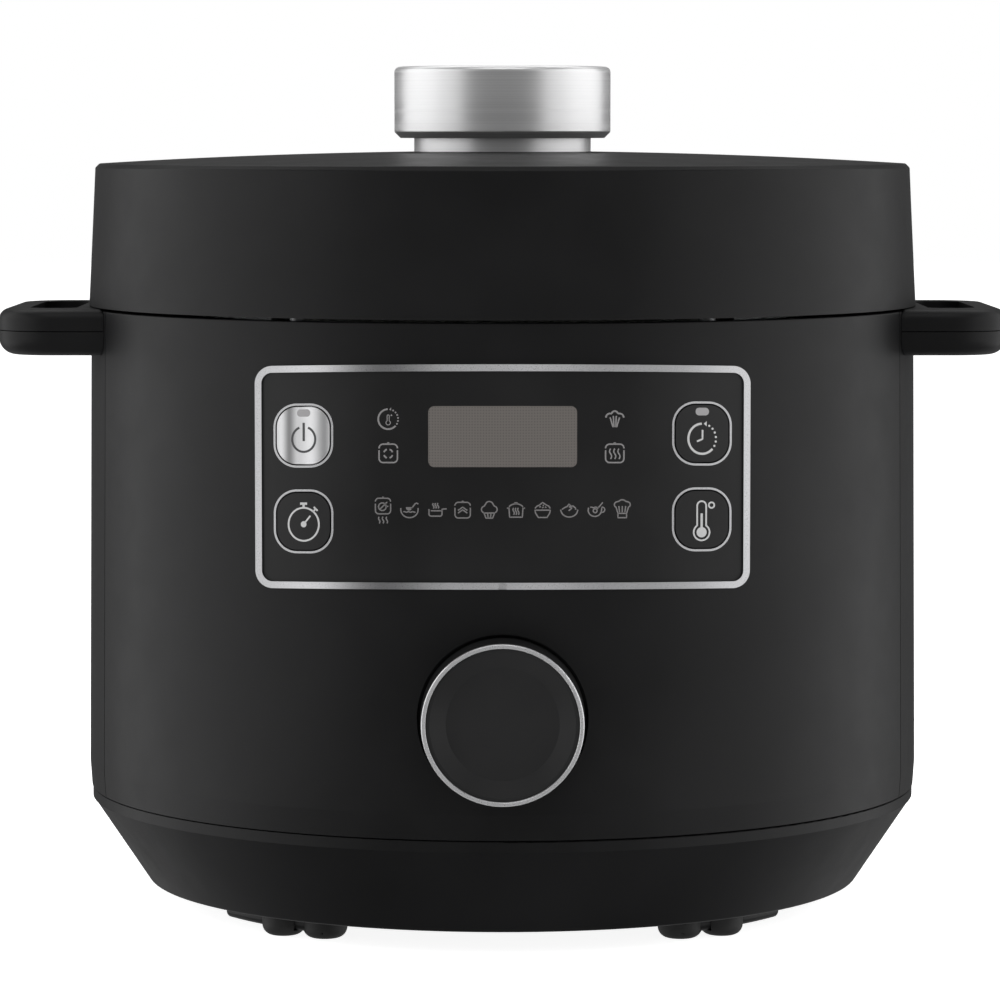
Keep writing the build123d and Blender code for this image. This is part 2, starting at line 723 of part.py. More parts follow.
def make_handle_screws():
    """Two screws for each handle."""
    return [handle_screw(side, y) for side in (-1, 1) for y in HANDLE_SCREW_Y]


# ---- pot ------------------------------------------------------------------------------------
def make_cooking_pot():
    """Removable pot with a rounded foot and a flat flange."""
    return turned([
        (0.0, POT_FOOT_Z), (POT_R, POT_FOOT_Z, 14.0), (POT_R, POT_RIM_Z - 2.0),
        (POT_FLANGE_R, POT_RIM_Z - 2.0, 0.6), (POT_FLANGE_R, POT_RIM_Z, 0.6),
        (POT_R - POT_WALL, POT_RIM_Z, 1.2), (POT_R - POT_WALL, POT_FOOT_Z + POT_WALL, 12.4),
        (0.0, POT_FOOT_Z + POT_WALL),
    ])


# ---- lid ------------------------------------------------------------------------------------
def dome_arc(drop):
    """Arc of the lid's shallow dome, lowered by the given amount, from rim to centre hole."""
    hole_r = SHAFT_R + 5.0
    edge_r = LID_RIM_R - LID_SHOULDER - drop * 0.9
    middle_r = 76.0
    rise = LID_CREST_Z - LID_RIM_Z
    middle_z = LID_CREST_Z - rise * (middle_r / edge_r) ** 2 - drop
    hole_z = LID_CREST_Z - rise * (hole_r / edge_r) ** 2 - drop
    return (edge_r, LID_RIM_Z - drop), (middle_r, middle_z), (hole_r, hole_z)


def make_lid_cover():
    """Outer moulding of the lid: drafted wall, shallow dome and screw bosses."""
    rim, middle, hole = dome_arc(0.0)
    rim_in, middle_in, hole_in = dome_arc(WALL)
    shoulder = (LID_RIM_R, LID_RIM_Z - LID_SHOULDER)
    lines = [
        Line((LID_FOOT_R - WALL, LID_FOOT_Z), (LID_FOOT_R, LID_FOOT_Z)),
        Line((LID_FOOT_R, LID_FOOT_Z), shoulder),
        Line(shoulder, rim),
        ThreePointArc(rim, middle, hole),
        Line(hole, hole_in),
        ThreePointArc(hole_in, middle_in, rim_in),
        Line(rim_in, (LID_FOOT_R - WALL, LID_FOOT_Z)),
    ]
    face = make_face(lines)
    for point, radius in ((shoulder, 1.0), (rim, 0.8)):
        face = fillet(face.vertices().sort_by_distance((*point, 0))[0], radius)
    cover = revolve(Plane.XZ * face, Axis.Z)
    cover -= tube(0.0, KNOB_NECK_R + KNOB_GAP, KNOB_FOOT_Z - KNOB_GAP, LID_CREST_Z + 1)
    for angle in boss_angles():
        x, y = polar(BOSS_CIRCLE_R, angle)
        boss = upright(x, y, 4.0, LID_BASE_Z + LID_BASE_T, 268.2)
        cover += boss
        cover -= upright(x, y, 1.5, LID_BASE_Z, 240.0)
    cover -= upright(*polar(VALVE_CIRCLE_R, PRESSURE_VALVE_ANGLE), 13.8, 260.0, 280.0)
    return cover - upright(*polar(VALVE_CIRCLE_R, FLOAT_VALVE_ANGLE), 3.0 + GAP, 260.0, 280.0)


def boss_angles():
    """Directions of the screws that hold the lid's base plate."""
    return (0.0, 60.0, 120.0, 180.0, 240.0, 300.0)


def make_lid_base():
    """Plate that closes the lid from below, with windows for the jaws."""
    top = LID_BASE_Z + LID_BASE_T
    plate = tube(20.0, LID_FOOT_R - WALL - 0.6, LID_BASE_Z, top)
    window_arc = 2 * (JAW_HALF_ARC + 2.0)
    for angle in JAW_ANGLES:
        plate -= tube(JAW_IN_R - 1.5, JAW_IN_R + JAW_PLATE_T + JAW_TRAVEL + 1.5, LID_BASE_Z - 1,
                      top + 1, angle - window_arc / 2, window_arc)
    for angle in boss_angles():
        plate -= upright(*polar(BOSS_CIRCLE_R, angle), 1.7, LID_BASE_Z - 1, top + 1)
    plate -= upright(*polar(VALVE_CIRCLE_R, PRESSURE_VALVE_ANGLE), 6.2, LID_BASE_Z - 1, top + 1)
    return plate - upright(*polar(VALVE_CIRCLE_R, FLOAT_VALVE_ANGLE), 6.0, LID_BASE_Z - 1, top + 1)


def make_jaw_guides():
    """Pairs of rails on the base plate that guide the jaws' arms."""
    rails = []
    top = LID_BASE_Z + LID_BASE_T
    near = JAW_ARM_W / 2 + 0.3
    for angle in JAW_ANGLES:
        for side in (-1, 1):
            y0, y1 = sorted((side * near, side * (near + 4.0)))
            rails.append(Rot(Z=angle) * block(72.0, 104.0, y0, y1, top, JAW_ARM_Z + JAW_ARM_T))
    return rails


def make_pressure_plate():
    """Dished steel lid that closes the pot."""
    plate = turned([
        (0.0, 212.0), (94.0, 212.0, 1.0), (97.2, 216.6, 0.6), (112.0, 216.6), (112.0, 217.8),
        (96.3, 217.8, 1.5), (93.1, 213.2, 0.6), (0.0, 213.2),
    ])
    plate -= upright(*polar(VALVE_CIRCLE_R, PRESSURE_VALVE_ANGLE), 4.0, 210.0, 216.0)
    return plate - upright(*polar(VALVE_CIRCLE_R, FLOAT_VALVE_ANGLE), 4.0, 210.0, 216.0)


def make_sealing_ring():
    """Silicone ring between the pressure plate and the pot's flange."""
    return turned([
        (98.6, 212.4, 0.8), (111.4, 212.4, 1.2), (111.4, 216.5), (98.6, 216.5),
    ])


def make_plate_posts():
    """Posts that hang the pressure plate from the base plate."""
    return [upright(*polar(60.0, angle), 4.0, 213.25, LID_BASE_Z)
            for angle in (30.0 + 60.0, 210.0, 330.0)]


def make_lid_screws():
    """Screws through the base plate into the cover's bosses."""
    return [screw(*polar(BOSS_CIRCLE_R, angle), 217.2, 1.4, 14.0, 3.0, 1.75)
            for angle in boss_angles()]


def make_steam_nozzle():
    """Pipe from the pressure plate to the pressure valve."""
    x, y = polar(VALVE_CIRCLE_R, PRESSURE_VALVE_ANGLE)
    pipe = upright(x, y, 3.9, 212.0, 240.0) + upright(x, y, 6.0, 213.25, 218.5)
    return pipe - upright(x, y, 1.4, 211.0, 241.0)


def make_valve_chamber():
    """Sleeve under the vent that the pressure valve rises in."""
    x, y = polar(VALVE_CIRCLE_R, PRESSURE_VALVE_ANGLE)
    sleeve = upright(x, y, 13.6, 234.0, 268.0) - upright(x, y, 11.6, 236.0, 269.0)
    return sleeve - upright(x, y, 4.4, 233.0, 237.0)


def make_pressure_valve():
    """Weighted cap that lifts off the nozzle."""
    x, y = polar(VALVE_CIRCLE_R, PRESSURE_VALVE_ANGLE)
    weight = upright(x, y, 9.0, 236.6, 256.0)
    weight = fillet(weight.edges().group_by(Axis.Z)[-1], 2.0)
    return weight - upright(x, y, 5.0, 236.0, 240.3)


def make_steam_vent():
    """Slotted disc set flush into the dome."""
    x, y = polar(VALVE_CIRCLE_R, PRESSURE_VALVE_ANGLE)
    disc = upright(x, y, 13.6, 268.1, 272.2)
    for row in (-6.0, -2.0, 2.0, 6.0):
        disc -= Pos(x + row, y, 270.0) * Box(1.8, 16.0, 6.0)
    return disc


def make_float_valve():
    """Pin that rises with the pressure, with a head below the pressure plate."""
    x, y = polar(VALVE_CIRCLE_R, FLOAT_VALVE_ANGLE)
    return upright(x, y, 3.0, 206.0, 272.6) + upright(x, y, 5.2, 205.4, 206.9)


def make_float_seal():
    """Silicone ring on the float valve's head."""
    x, y = polar(VALVE_CIRCLE_R, FLOAT_VALVE_ANGLE)
    return upright(x, y, 5.0, 206.9, 208.2) - upright(x, y, 3.0, 206.0, 209.0)


def make_float_guide():
    """Bush that the float valve slides in."""
    x, y = polar(VALVE_CIRCLE_R, FLOAT_VALVE_ANGLE)
    bush = upright(x, y, 5.9, 213.3, 226.0)
    return bush - upright(x, y, 3.0 + RUNNING_FIT, 212.0, 227.0)


# ---- lock knob and jaws ---------------------------------------------------------------------
def make_knob_bushing():
    """Bearing for the knob's shaft in the centre of the lid."""
    bush = tube(SHAFT_R + RUNNING_FIT, SHAFT_R + 4.9, 262.0, KNOB_FOOT_Z - KNOB_GAP)
    return bush + tube(SHAFT_R + RUNNING_FIT, SHAFT_R + 8.0, 266.0, 270.0)


def make_lock_knob():
    """Spun metal drum that turns to lock the lid."""
    return turned([
        (KNOB_NECK_R + 0.1, KNOB_BEVEL_Z), (KNOB_R - 2.2, KNOB_BEVEL_Z, 0.6),
        (KNOB_R, KNOB_DRUM_Z, 0.8), (KNOB_R, KNOB_TOP_Z, 2.0), (KNOB_R - 5.0, KNOB_TOP_Z, 0.6),
        (KNOB_R - 5.0, KNOB_TOP_Z - 1.6), (KNOB_R - 4.0, KNOB_TOP_Z - 1.6),
        (KNOB_R - 4.0, KNOB_DRUM_Z + 0.6), (KNOB_NECK_R + 0.1, KNOB_DRUM_Z + 0.6),
    ])


def make_knob_cap():
    """Disc let into the knob's top."""
    return tube(0.0, KNOB_R - 5.1, KNOB_TOP_Z - 3.2, KNOB_TOP_Z - 1.0)


def make_knob_neck():
    """Bright collar that carries the drum."""
    return turned([
        (SHAFT_R + 3.0, KNOB_FOOT_Z), (KNOB_NECK_R, KNOB_FOOT_Z, 0.5), (KNOB_NECK_R, 284.0),
        (KNOB_NECK_R - 3.0, 284.0), (KNOB_NECK_R - 3.0, KNOB_BEVEL_Z), (SHAFT_R + 3.0, KNOB_BEVEL_Z),
    ])


def make_knob_core():
    """Moulded core that joins drum, neck and shaft."""
    return turned([
        (SHAFT_R, KNOB_FOOT_Z + 0.2), (SHAFT_R + 2.9, KNOB_FOOT_Z + 0.2), (SHAFT_R + 2.9, 284.2),
        (KNOB_R - 4.2, 284.2), (KNOB_R - 4.2, KNOB_TOP_Z - 3.3), (SHAFT_R, KNOB_TOP_Z - 3.3),
    ])


def make_knob_shaft():
    """Shaft from the knob down to the cam disc."""
    return upright(0, 0, SHAFT_R, CAM_DISC_Z - 1.5, KNOB_TOP_Z - 3.4)


def cam_slot(angle):
    """Spiral slot: its radius grows evenly as the disc turns from unlocked to locked."""
    half_w = CAM_PIN_R + 0.3
    steps = 9

    def edge(outset):
        """Points of the spiral, moved out by the outset."""
        points = []
        for step in range(steps):
            turn = LOCK_TURN * step / (steps - 1)
            radius = CAM_PIN_CIRCLE + JAW_TRAVEL * turn / LOCK_TURN + outset
            points.append(polar(radius, angle + turn))
        return points

    outer = edge(half_w)
    inner = edge(-half_w)
    band = make_face([Spline(*outer), Line(outer[-1], inner[-1]), Spline(*inner), Line(inner[0], outer[0])])
    ends = [Pos(*polar(CAM_PIN_CIRCLE, angle)) * Circle(half_w),
            Pos(*polar(CAM_PIN_CIRCLE + JAW_TRAVEL, angle + LOCK_TURN)) * Circle(half_w)]
    return band + ends


def make_cam_disc():
    """Disc whose spiral slots drive the jaws."""
    disc = tube(SHAFT_R, CAM_DISC_R, CAM_DISC_Z, CAM_DISC_Z + CAM_DISC_T)
    for angle in JAW_ANGLES:
        slot = Pos(0, 0, CAM_DISC_Z - 1) * cam_slot(angle)
        disc -= extrude(slot, amount=CAM_DISC_T + 2)
    return disc


def make_jaw(angle):
    """Sliding jaw: arm with cam pin, curved plate and hooked foot."""
    arm_top = JAW_ARM_Z + JAW_ARM_T
    arm = block(36.0, JAW_IN_R + 1.0, -JAW_ARM_W / 2, JAW_ARM_W / 2, JAW_ARM_Z, arm_top)
    pin = upright(CAM_PIN_CIRCLE, 0, CAM_PIN_R, JAW_ARM_Z, CAM_DISC_Z + CAM_DISC_T - 0.3)
    plate = tube(JAW_IN_R, JAW_IN_R + JAW_PLATE_T, 205.0, arm_top, -JAW_HALF_ARC, 2 * JAW_HALF_ARC)
    foot = tube(JAW_IN_R, JAW_FOOT_OUT_R, 205.0, 209.4, -JAW_HALF_ARC, 2 * JAW_HALF_ARC)
    return Rot(Z=angle) * (arm + pin + plate + foot)


# ---- write every node -----------------------------------------------------------------------
def main():
    save("base_shell", make_base_shell())
    save("trim_band", make_trim_band())
    save("rubber_feet", *make_rubber_feet())
    save("base_screws", *make_base_screws())
    save("front_housing", make_front_housing())
    save("rear_housing", make_rear_housing())
    save("top_deck", make_top_deck())
    save("lock_ring", make_lock_ring())
    save("inner_shell", make_inner_shell(), make_sensor_bracket())
    save("heating_plate", make_heating_plate())
    save("heating_element", make_heating_element(), make_thermal_fuse())
    save("temperature_sensor", make_temperature_sensor())
    save("sensor_spring", make_sensor_spring())

    save("panel_frame", make_panel_frame())
    save("panel_fascia", make_panel_fascia())
    save("panel_carrier", make_panel_carrier())
    save("button_rings", *make_button_rings())
    save("display_window", make_display_window())
    save("display_module", make_display_module())
    save("control_board", make_control_board(), make_control_chip(), *make_push_switches())
    for name, place in BUTTONS.items():
        save(name, make_button(*place))

    save("dial_socket", make_dial_socket())
    save("dial_knob", make_dial_knob())
    save("dial_ring", make_dial_ring())
    save("dial_face", make_dial_face())
    save("dial_shaft", make_dial_shaft() + make_dial_hub())
    save("encoder", make_encoder())

    save("power_board", make_power_board(), make_relay(), make_transformer(), *make_capacitors())
    save("inlet_plate", make_inlet_plate())
    save("mains_inlet", make_mains_inlet())
    save("inlet_pins", *make_inlet_pins())
    save("condensate_cup", make_condensate_cup())

    handle_base = make_handle(HANDLE_FOOT_Z, HANDLE_SPLIT_Z, HANDLE_LOW_ROUND, 0.0)
    for y in HANDLE_SCREW_Y:
        handle_base -= crosswise(1, 140.0, 151.6, y, HANDLE_SCREW_Z, 1.5)
    handle_cover = make_handle(HANDLE_SPLIT_Z + 0.3, HANDLE_TOP_Z, 0.0, HANDLE_HIGH_ROUND)
    save("right_handle_base", handle_base)
    save("right_handle_cover", handle_cover)
    save("left_handle_base", mirror(handle_base, Plane.YZ))
    save("left_handle_cover", mirror(handle_cover, Plane.YZ))
    save("handle_screws", *make_handle_screws())

    save("cooking_pot", make_cooking_pot())
    save("lid_cover", make_lid_cover())
    save("lid_base", make_lid_base(), *make_jaw_guides(), make_float_guide())
    save("pressure_plate", make_pressure_plate(), *make_plate_posts())
    save("sealing_ring", make_sealing_ring())
    save("lid_screws", *make_lid_screws())
    save("steam_passage", make_steam_nozzle(), make_valve_chamber())
    save("steam_vent", make_steam_vent())
    save("pressure_valve", make_pressure_valve())
    save("float_valve", make_float_valve(), make_float_seal())
    save("knob_bushing", make_knob_bushing())
    save("lock_knob", make_lock_knob())
    save("knob_cap", make_knob_cap())
    save("knob_neck", make_knob_neck())
    save("knob_core", make_knob_core())
    save("knob_shaft", make_knob_shaft())
    save("cam_disc", make_cam_disc())
    for angle, name in zip(JAW_ANGLES, ("rear_jaw", "left_jaw", "right_jaw")):
        save(name, make_jaw(angle))


main()
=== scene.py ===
import math

import bpy
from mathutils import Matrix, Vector
from mathutils.bvhtree import BVHTree


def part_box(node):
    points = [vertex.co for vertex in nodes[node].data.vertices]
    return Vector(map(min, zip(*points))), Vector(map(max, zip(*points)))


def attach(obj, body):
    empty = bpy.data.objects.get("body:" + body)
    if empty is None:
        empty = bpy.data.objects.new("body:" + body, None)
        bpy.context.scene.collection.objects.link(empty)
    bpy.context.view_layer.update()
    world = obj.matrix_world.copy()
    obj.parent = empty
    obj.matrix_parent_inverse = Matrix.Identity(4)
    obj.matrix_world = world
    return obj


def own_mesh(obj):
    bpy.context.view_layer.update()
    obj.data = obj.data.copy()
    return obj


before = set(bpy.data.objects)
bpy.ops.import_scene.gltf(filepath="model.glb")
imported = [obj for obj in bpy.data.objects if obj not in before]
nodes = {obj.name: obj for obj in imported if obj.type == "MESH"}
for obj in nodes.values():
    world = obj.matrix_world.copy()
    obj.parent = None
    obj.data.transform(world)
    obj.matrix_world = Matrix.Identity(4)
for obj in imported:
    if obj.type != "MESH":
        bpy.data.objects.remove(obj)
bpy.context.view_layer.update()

# ---- dimensions, in metres, except on the panel, where they are in millimetres ----------------
MM = 0.001
DOT_PITCH = 0.95 * MM                    # grid of dots on the display film
FLOOR_HALF_WIDTH = 8.0
PANEL_DRAW_ANGLE = math.radians(4.4)     # the panel's outlines run slightly downwards into the housing
DRAW = Vector((0.0, math.cos(PANEL_DRAW_ANGLE), -math.sin(PANEL_DRAW_ANGLE)))

PANEL_FRONT_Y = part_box("panel_frame")[0].y
RAY_START = 0.02                         # how far before the panel a search for its surface starts

# Artwork on the panel, in millimetres: x from the middle, z up from the table.
ICON_Z = 154.9
ICON_FIRST_X = -40.2
ICON_PITCH = 8.93
ICON_SCALE = 1.12
ICON_STROKE = 0.45
STATUS_LEFT_X = -38.4
STATUS_RIGHT_X = 37.6
STATUS_TOP_Z = 185.6
STATUS_LOW_Z = 174.1
STATUS_POT_SIZE = 6.2
POWER_PLACE = (-67.2, 178.9)
POWER_LAMP_Z = 187.8
TIMER_PLACE = (-67.3, 150.1)
DELAY_PLACE = (67.4, 179.1)
DELAY_LAMP_Z = 188.3
TEMPERATURE_PLACE = (67.3, 147.4)
SIDE_SQUASH = 0.935                      # the side buttons' symbols are a little narrower than high
STROKE_PITCH = 0.6                       # longest straight run of a stroke over the curved surface

# Camera and light. The radiances are of the soft boxes; the rest are of the surround and the floor.
CAMERA_PLACE = (-0.0009, -1.646, 0.2811)
CAMERA_PITCH_DOWN = 4.693                # degrees
CAMERA_LENS = 161.4                      # on a sensor 36 wide, both in millimetres
SIDE_RADIANCE = 1.15
FRONT_RADIANCE = 0.85
TOP_RADIANCE = 1.3
HIGH_FRONT_RADIANCE = 1.6
ROOM_LIGHT = 0.45
ROOM_REFLECTION = 0.14
REAR_FLOOR_REFLECTION = 0.42
FLOOR_GLOW = 0.90


# ---- mesh helpers ---------------------------------------------------------------------------
def mesh_object(name, verts, faces, material, smooth=False):
    """Object from plain vertices and faces."""
    mesh = bpy.data.meshes.new(name)
    mesh.from_pydata([tuple(v) for v in verts], [], faces)
    mesh.materials.append(material)
    obj = bpy.data.objects.new(name, mesh)
    bpy.context.scene.collection.objects.link(obj)
    if smooth:
        mesh.polygons.foreach_set("use_smooth", [True] * len(mesh.polygons))
    return obj


def surface(*names):
    """Search tree over the meshes of some CAD nodes."""
    verts = []
    faces = []
    for name in names:
        mesh = nodes[name].data
        base = len(verts)
        verts += [v.co.copy() for v in mesh.vertices]
        faces += [[base + i for i in p.vertices] for p in mesh.polygons]
    return BVHTree.FromPolygons(verts, faces)


def arc(cx, cz, r, start, end, steps=24, squash=1.0):
    """Points along an arc, angles in degrees from the right, counter-clockwise."""
    points = []
    for step in range(steps + 1):
        a = math.radians(start + (end - start) * step / steps)
        points.append((cx + r * squash * math.cos(a), cz + r * math.sin(a)))
    return points


def circle(cx, cz, r, steps=40, squash=1.0):
    """Closed ring of points, the last the same as the first."""
    return arc(cx, cz, r, 0.0, 360.0, steps, squash)


def rounded_box(cx, cz, w, h, r, steps=6):
    """Closed rounded rectangle."""
    points = []
    for sx, sz, start in ((1, 1, 0), (-1, 1, 90), (-1, -1, 180), (1, -1, 270)):
        points += arc(cx + sx * (w / 2 - r), cz + sz * (h / 2 - r), r, start, start + 90, steps)
    return points + points[:1]


def wave(x, z0, z1, swing, bends=1.0, steps=12):
    """Upright wavy stroke, as of rising steam."""
    points = []
    for step in range(steps + 1):
        t = step / steps
        points.append((x + swing * math.sin(2 * math.pi * bends * t), z0 + (z1 - z0) * t))
    return points


def shifted(strokes, dx, dz, scale=1.0):
    """Strokes moved and scaled."""
    return [[(dx + x * scale, dz + z * scale) for x, z in points] for points in strokes]


def dense(points, pitch):
    """The same line with no run longer than the pitch."""
    out = [points[0]]
    for (x0, z0), (x1, z1) in zip(points, points[1:]):
        parts = max(1, math.ceil(math.hypot(x1 - x0, z1 - z0) / pitch))
        for part in range(1, parts + 1):
            t = part / parts
            out.append((x0 + (x1 - x0) * t, z0 + (z1 - z0) * t))
    return out


class Print:
    """Raised print: strokes and filled shapes pressed on to a curved surface, in one mesh."""

    LIFT = 0.05 * MM
    SINK = 0.05 * MM

    def __init__(self, tree):
        self.tree = tree
        self.verts = []
        self.faces = []

    def press(self, x, z, lift):
        """Point on the surface behind panel place (x, z) in millimetres."""
        origin = Vector((x * MM, PANEL_FRONT_Y, z * MM)) - DRAW * RAY_START
        hit, normal, _, _ = self.tree.ray_cast(origin, DRAW)
        if hit is None:
            raise ValueError(f"print at {x:.1f}, {z:.1f} misses the surface")
        return hit - DRAW * lift

    def prism(self, loop):
        """Closed thin slab over a convex loop of points."""
        base = len(self.verts)
        count = len(loop)
        self.verts += [self.press(x, z, self.LIFT) for x, z in loop]
        self.verts += [self.press(x, z, -self.SINK) for x, z in loop]
        self.faces.append([base + i for i in range(count)])
        self.faces.append([base + count + i for i in reversed(range(count))])
        for i in range(count):
            j = (i + 1) % count
            self.faces.append([base + i, base + count + i, base + count + j, base + j])

    def fill(self, loop):
        """Filled convex shape."""
        self.prism(loop[:-1] if loop[0] == loop[-1] else loop)

    def stroke(self, points, width):
        """Line drawn as one closed strip of even width, a little narrower at sharp corners."""
        line = dense(points, STROKE_PITCH)
        closed = math.dist(line[0], line[-1]) < 1e-6
        if closed:
            line = line[:-1]
        count = len(line)
        left = []
        right = []
        for i, (x, z) in enumerate(line):
            before = line[i - 1] if (i > 0 or closed) else line[i]
            after = line[(i + 1) % count] if (i < count - 1 or closed) else line[i]
            dx, dz = after[0] - before[0], after[1] - before[1]
            length = math.hypot(dx, dz) or 1.0
            nx, nz = -dz / length * width / 2, dx / length * width / 2
            left.append((x + nx, z + nz))
            right.append((x - nx, z - nz))
        base = len(self.verts)
        for lift in (self.LIFT, -self.SINK):
            self.verts += [self.press(x, z, lift) for x, z in left]
            self.verts += [self.press(x, z, lift) for x, z in right]
        top_l, top_r = base, base + count
        low_l, low_r = base + 2 * count, base + 3 * count
        last = count if closed else count - 1
        for i in range(last):
            j = (i + 1) % count
            self.faces.append([top_l + i, top_r + i, top_r + j, top_l + j])
            self.faces.append([low_l + i, low_l + j, low_r + j, low_r + i])
            self.faces.append([top_l + i, top_l + j, low_l + j, low_l + i])
            self.faces.append([top_r + i, low_r + i, low_r + j, top_r + j])
        if not closed:
            end = count - 1
            self.faces.append([top_l, low_l, low_r, top_r])
            self.faces.append([top_l + end, top_r + end, low_r + end, low_l + end])

    def finish(self, name, material, body):
        """Make the object, which rides on a body."""
        obj = mesh_object(name, self.verts, self.faces, material)
        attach(obj, body)


# ---- materials ------------------------------------------------------------------------------
def new_material(name):
    """New node material, with its node tree and its shader."""
    material = bpy.data.materials.new(name)
    material.use_nodes = True
    tree = material.node_tree
    shader = tree.nodes["Principled BSDF"]
    return material, tree, shader


def add_noise(tree, coords, scale, detail, roughness=0.5, stretch=(1, 1, 1)):
    """Noise in object coordinates, stretched along an axis where asked."""
    mapping = tree.nodes.new("ShaderNodeMapping")
    mapping.inputs["Scale"].default_value = stretch
    tree.links.new(coords.outputs["Object"], mapping.inputs["Vector"])
    noise = tree.nodes.new("ShaderNodeTexNoise")
    noise.inputs["Scale"].default_value = scale
    noise.inputs["Detail"].default_value = detail
    noise.inputs["Roughness"].default_value = roughness
    tree.links.new(mapping.outputs["Vector"], noise.inputs["Vector"])
    return noise


def ramp_between(tree, source, low, high, out_low, out_high):
    """Map a factor range to an output range."""
    node = tree.nodes.new("ShaderNodeMapRange")
    node.inputs["From Min"].default_value = low
    node.inputs["From Max"].default_value = high
    node.inputs["To Min"].default_value = out_low
    node.inputs["To Max"].default_value = out_high
    tree.links.new(source, node.inputs["Value"])
    return node.outputs["Result"]


def mix_colours(tree, factor, first, second):
    """Colour between two, by a factor socket."""
    node = tree.nodes.new("ShaderNodeMix")
    node.data_type = "RGBA"
    node.inputs["A"].default_value = (*first, 1.0)
    node.inputs["B"].default_value = (*second, 1.0)
    tree.links.new(factor, node.inputs["Factor"])
    return node.outputs["Result"]


def add_bump(tree, shader, height, strength, distance):
    """Bump from a height socket, on top of any bump already there."""
    bump = tree.nodes.new("ShaderNodeBump")
    bump.inputs["Strength"].default_value = strength
    bump.inputs["Distance"].default_value = distance
    tree.links.new(height, bump.inputs["Height"])
    earlier = shader.inputs["Normal"].links
    if earlier:
        tree.links.new(earlier[0].from_socket, bump.inputs["Normal"])
    tree.links.new(bump.outputs["Normal"], shader.inputs["Normal"])


def moulded_plastic(name, colour, roughness, grain=0.3, grain_scale=2600.0, specular=0.2, spread=0.25):
    """Moulded plastic: fine spark-eroded grain, faint mottling and handling marks."""
    material, tree, shader = new_material(name)
    coords = tree.nodes.new("ShaderNodeTexCoord")
    mottle = add_noise(tree, coords, 14.0, 4.0)
    dark = tuple(c * (1.0 - spread) for c in colour)
    light = tuple(c * (1.0 + spread) for c in colour)
    tint = ramp_between(tree, mottle.outputs["Fac"], 0.3, 0.7, 0.0, 1.0)
    tree.links.new(mix_colours(tree, tint, dark, light), shader.inputs["Base Color"])
    wear = add_noise(tree, coords, 55.0, 6.0, 0.6)
    rough = ramp_between(tree, wear.outputs["Fac"], 0.25, 0.75, roughness - 0.04, roughness + 0.05)
    tree.links.new(rough, shader.inputs["Roughness"])
    shader.inputs["Specular IOR Level"].default_value = specular
    grain_noise = add_noise(tree, coords, grain_scale, 2.0)
    add_bump(tree, shader, grain_noise.outputs["Fac"], grain, 0.00006)
    return material


def brushed_metal(name, colour, roughness, stretch, scale=900.0, bump=0.12, lacquer=0.0):
    """Metal with fine brushing along an axis; lacquer makes it paler where it reflects little."""
    material, tree, shader = new_material(name)
    shader.inputs["Metallic"].default_value = 1.0 - lacquer
    coords = tree.nodes.new("ShaderNodeTexCoord")
    lines = add_noise(tree, coords, scale, 3.0, 0.6, stretch)
    dark = tuple(c * 0.9 for c in colour)
    tint = ramp_between(tree, lines.outputs["Fac"], 0.3, 0.7, 0.0, 1.0)
    tree.links.new(mix_colours(tree, tint, dark, colour), shader.inputs["Base Color"])
    rough = ramp_between(tree, lines.outputs["Fac"], 0.3, 0.7, roughness - 0.05, roughness + 0.07)
    tree.links.new(rough, shader.inputs["Roughness"])
    add_bump(tree, shader, lines.outputs["Fac"], bump, 0.00003)
    return material


def metal_with_painted_reflections(name, colour, roughness, lacquer, start, end, reflection_bands):
    """Satin metal with painted reflections: soft pale and dark bands painted into the colour from start to
    end across the panel.
    """
    material = brushed_metal(name, colour, roughness, (1, 1, 3), 2500.0, 0.004, lacquer)
    tree = material.node_tree
    shader = tree.nodes["Principled BSDF"]
    coords = tree.nodes.new("ShaderNodeTexCoord")
    split = tree.nodes.new("ShaderNodeSeparateXYZ")
    tree.links.new(coords.outputs["Object"], split.inputs["Vector"])
    place = ramp_between(tree, split.outputs["X"], start, end, 0.0, 1.0)
    # Painted reflections: the base colour brightens and darkens in bands across the piece.
    ramp = tree.nodes.new("ShaderNodeValToRGB")
    ramp.color_ramp.interpolation = "EASE"
    stops = ramp.color_ramp.elements
    stops.remove(stops[1])
    stops[0].position = reflection_bands[0][0]
    stops[0].color = (*(c * reflection_bands[0][1] for c in colour), 1.0)
    for where, shade in reflection_bands[1:]:
        stops.new(where).color = (*(c * shade for c in colour), 1.0)
    tree.links.new(place, ramp.inputs["Fac"])
    tree.links.new(ramp.outputs["Color"], shader.inputs["Base Color"])
    return material


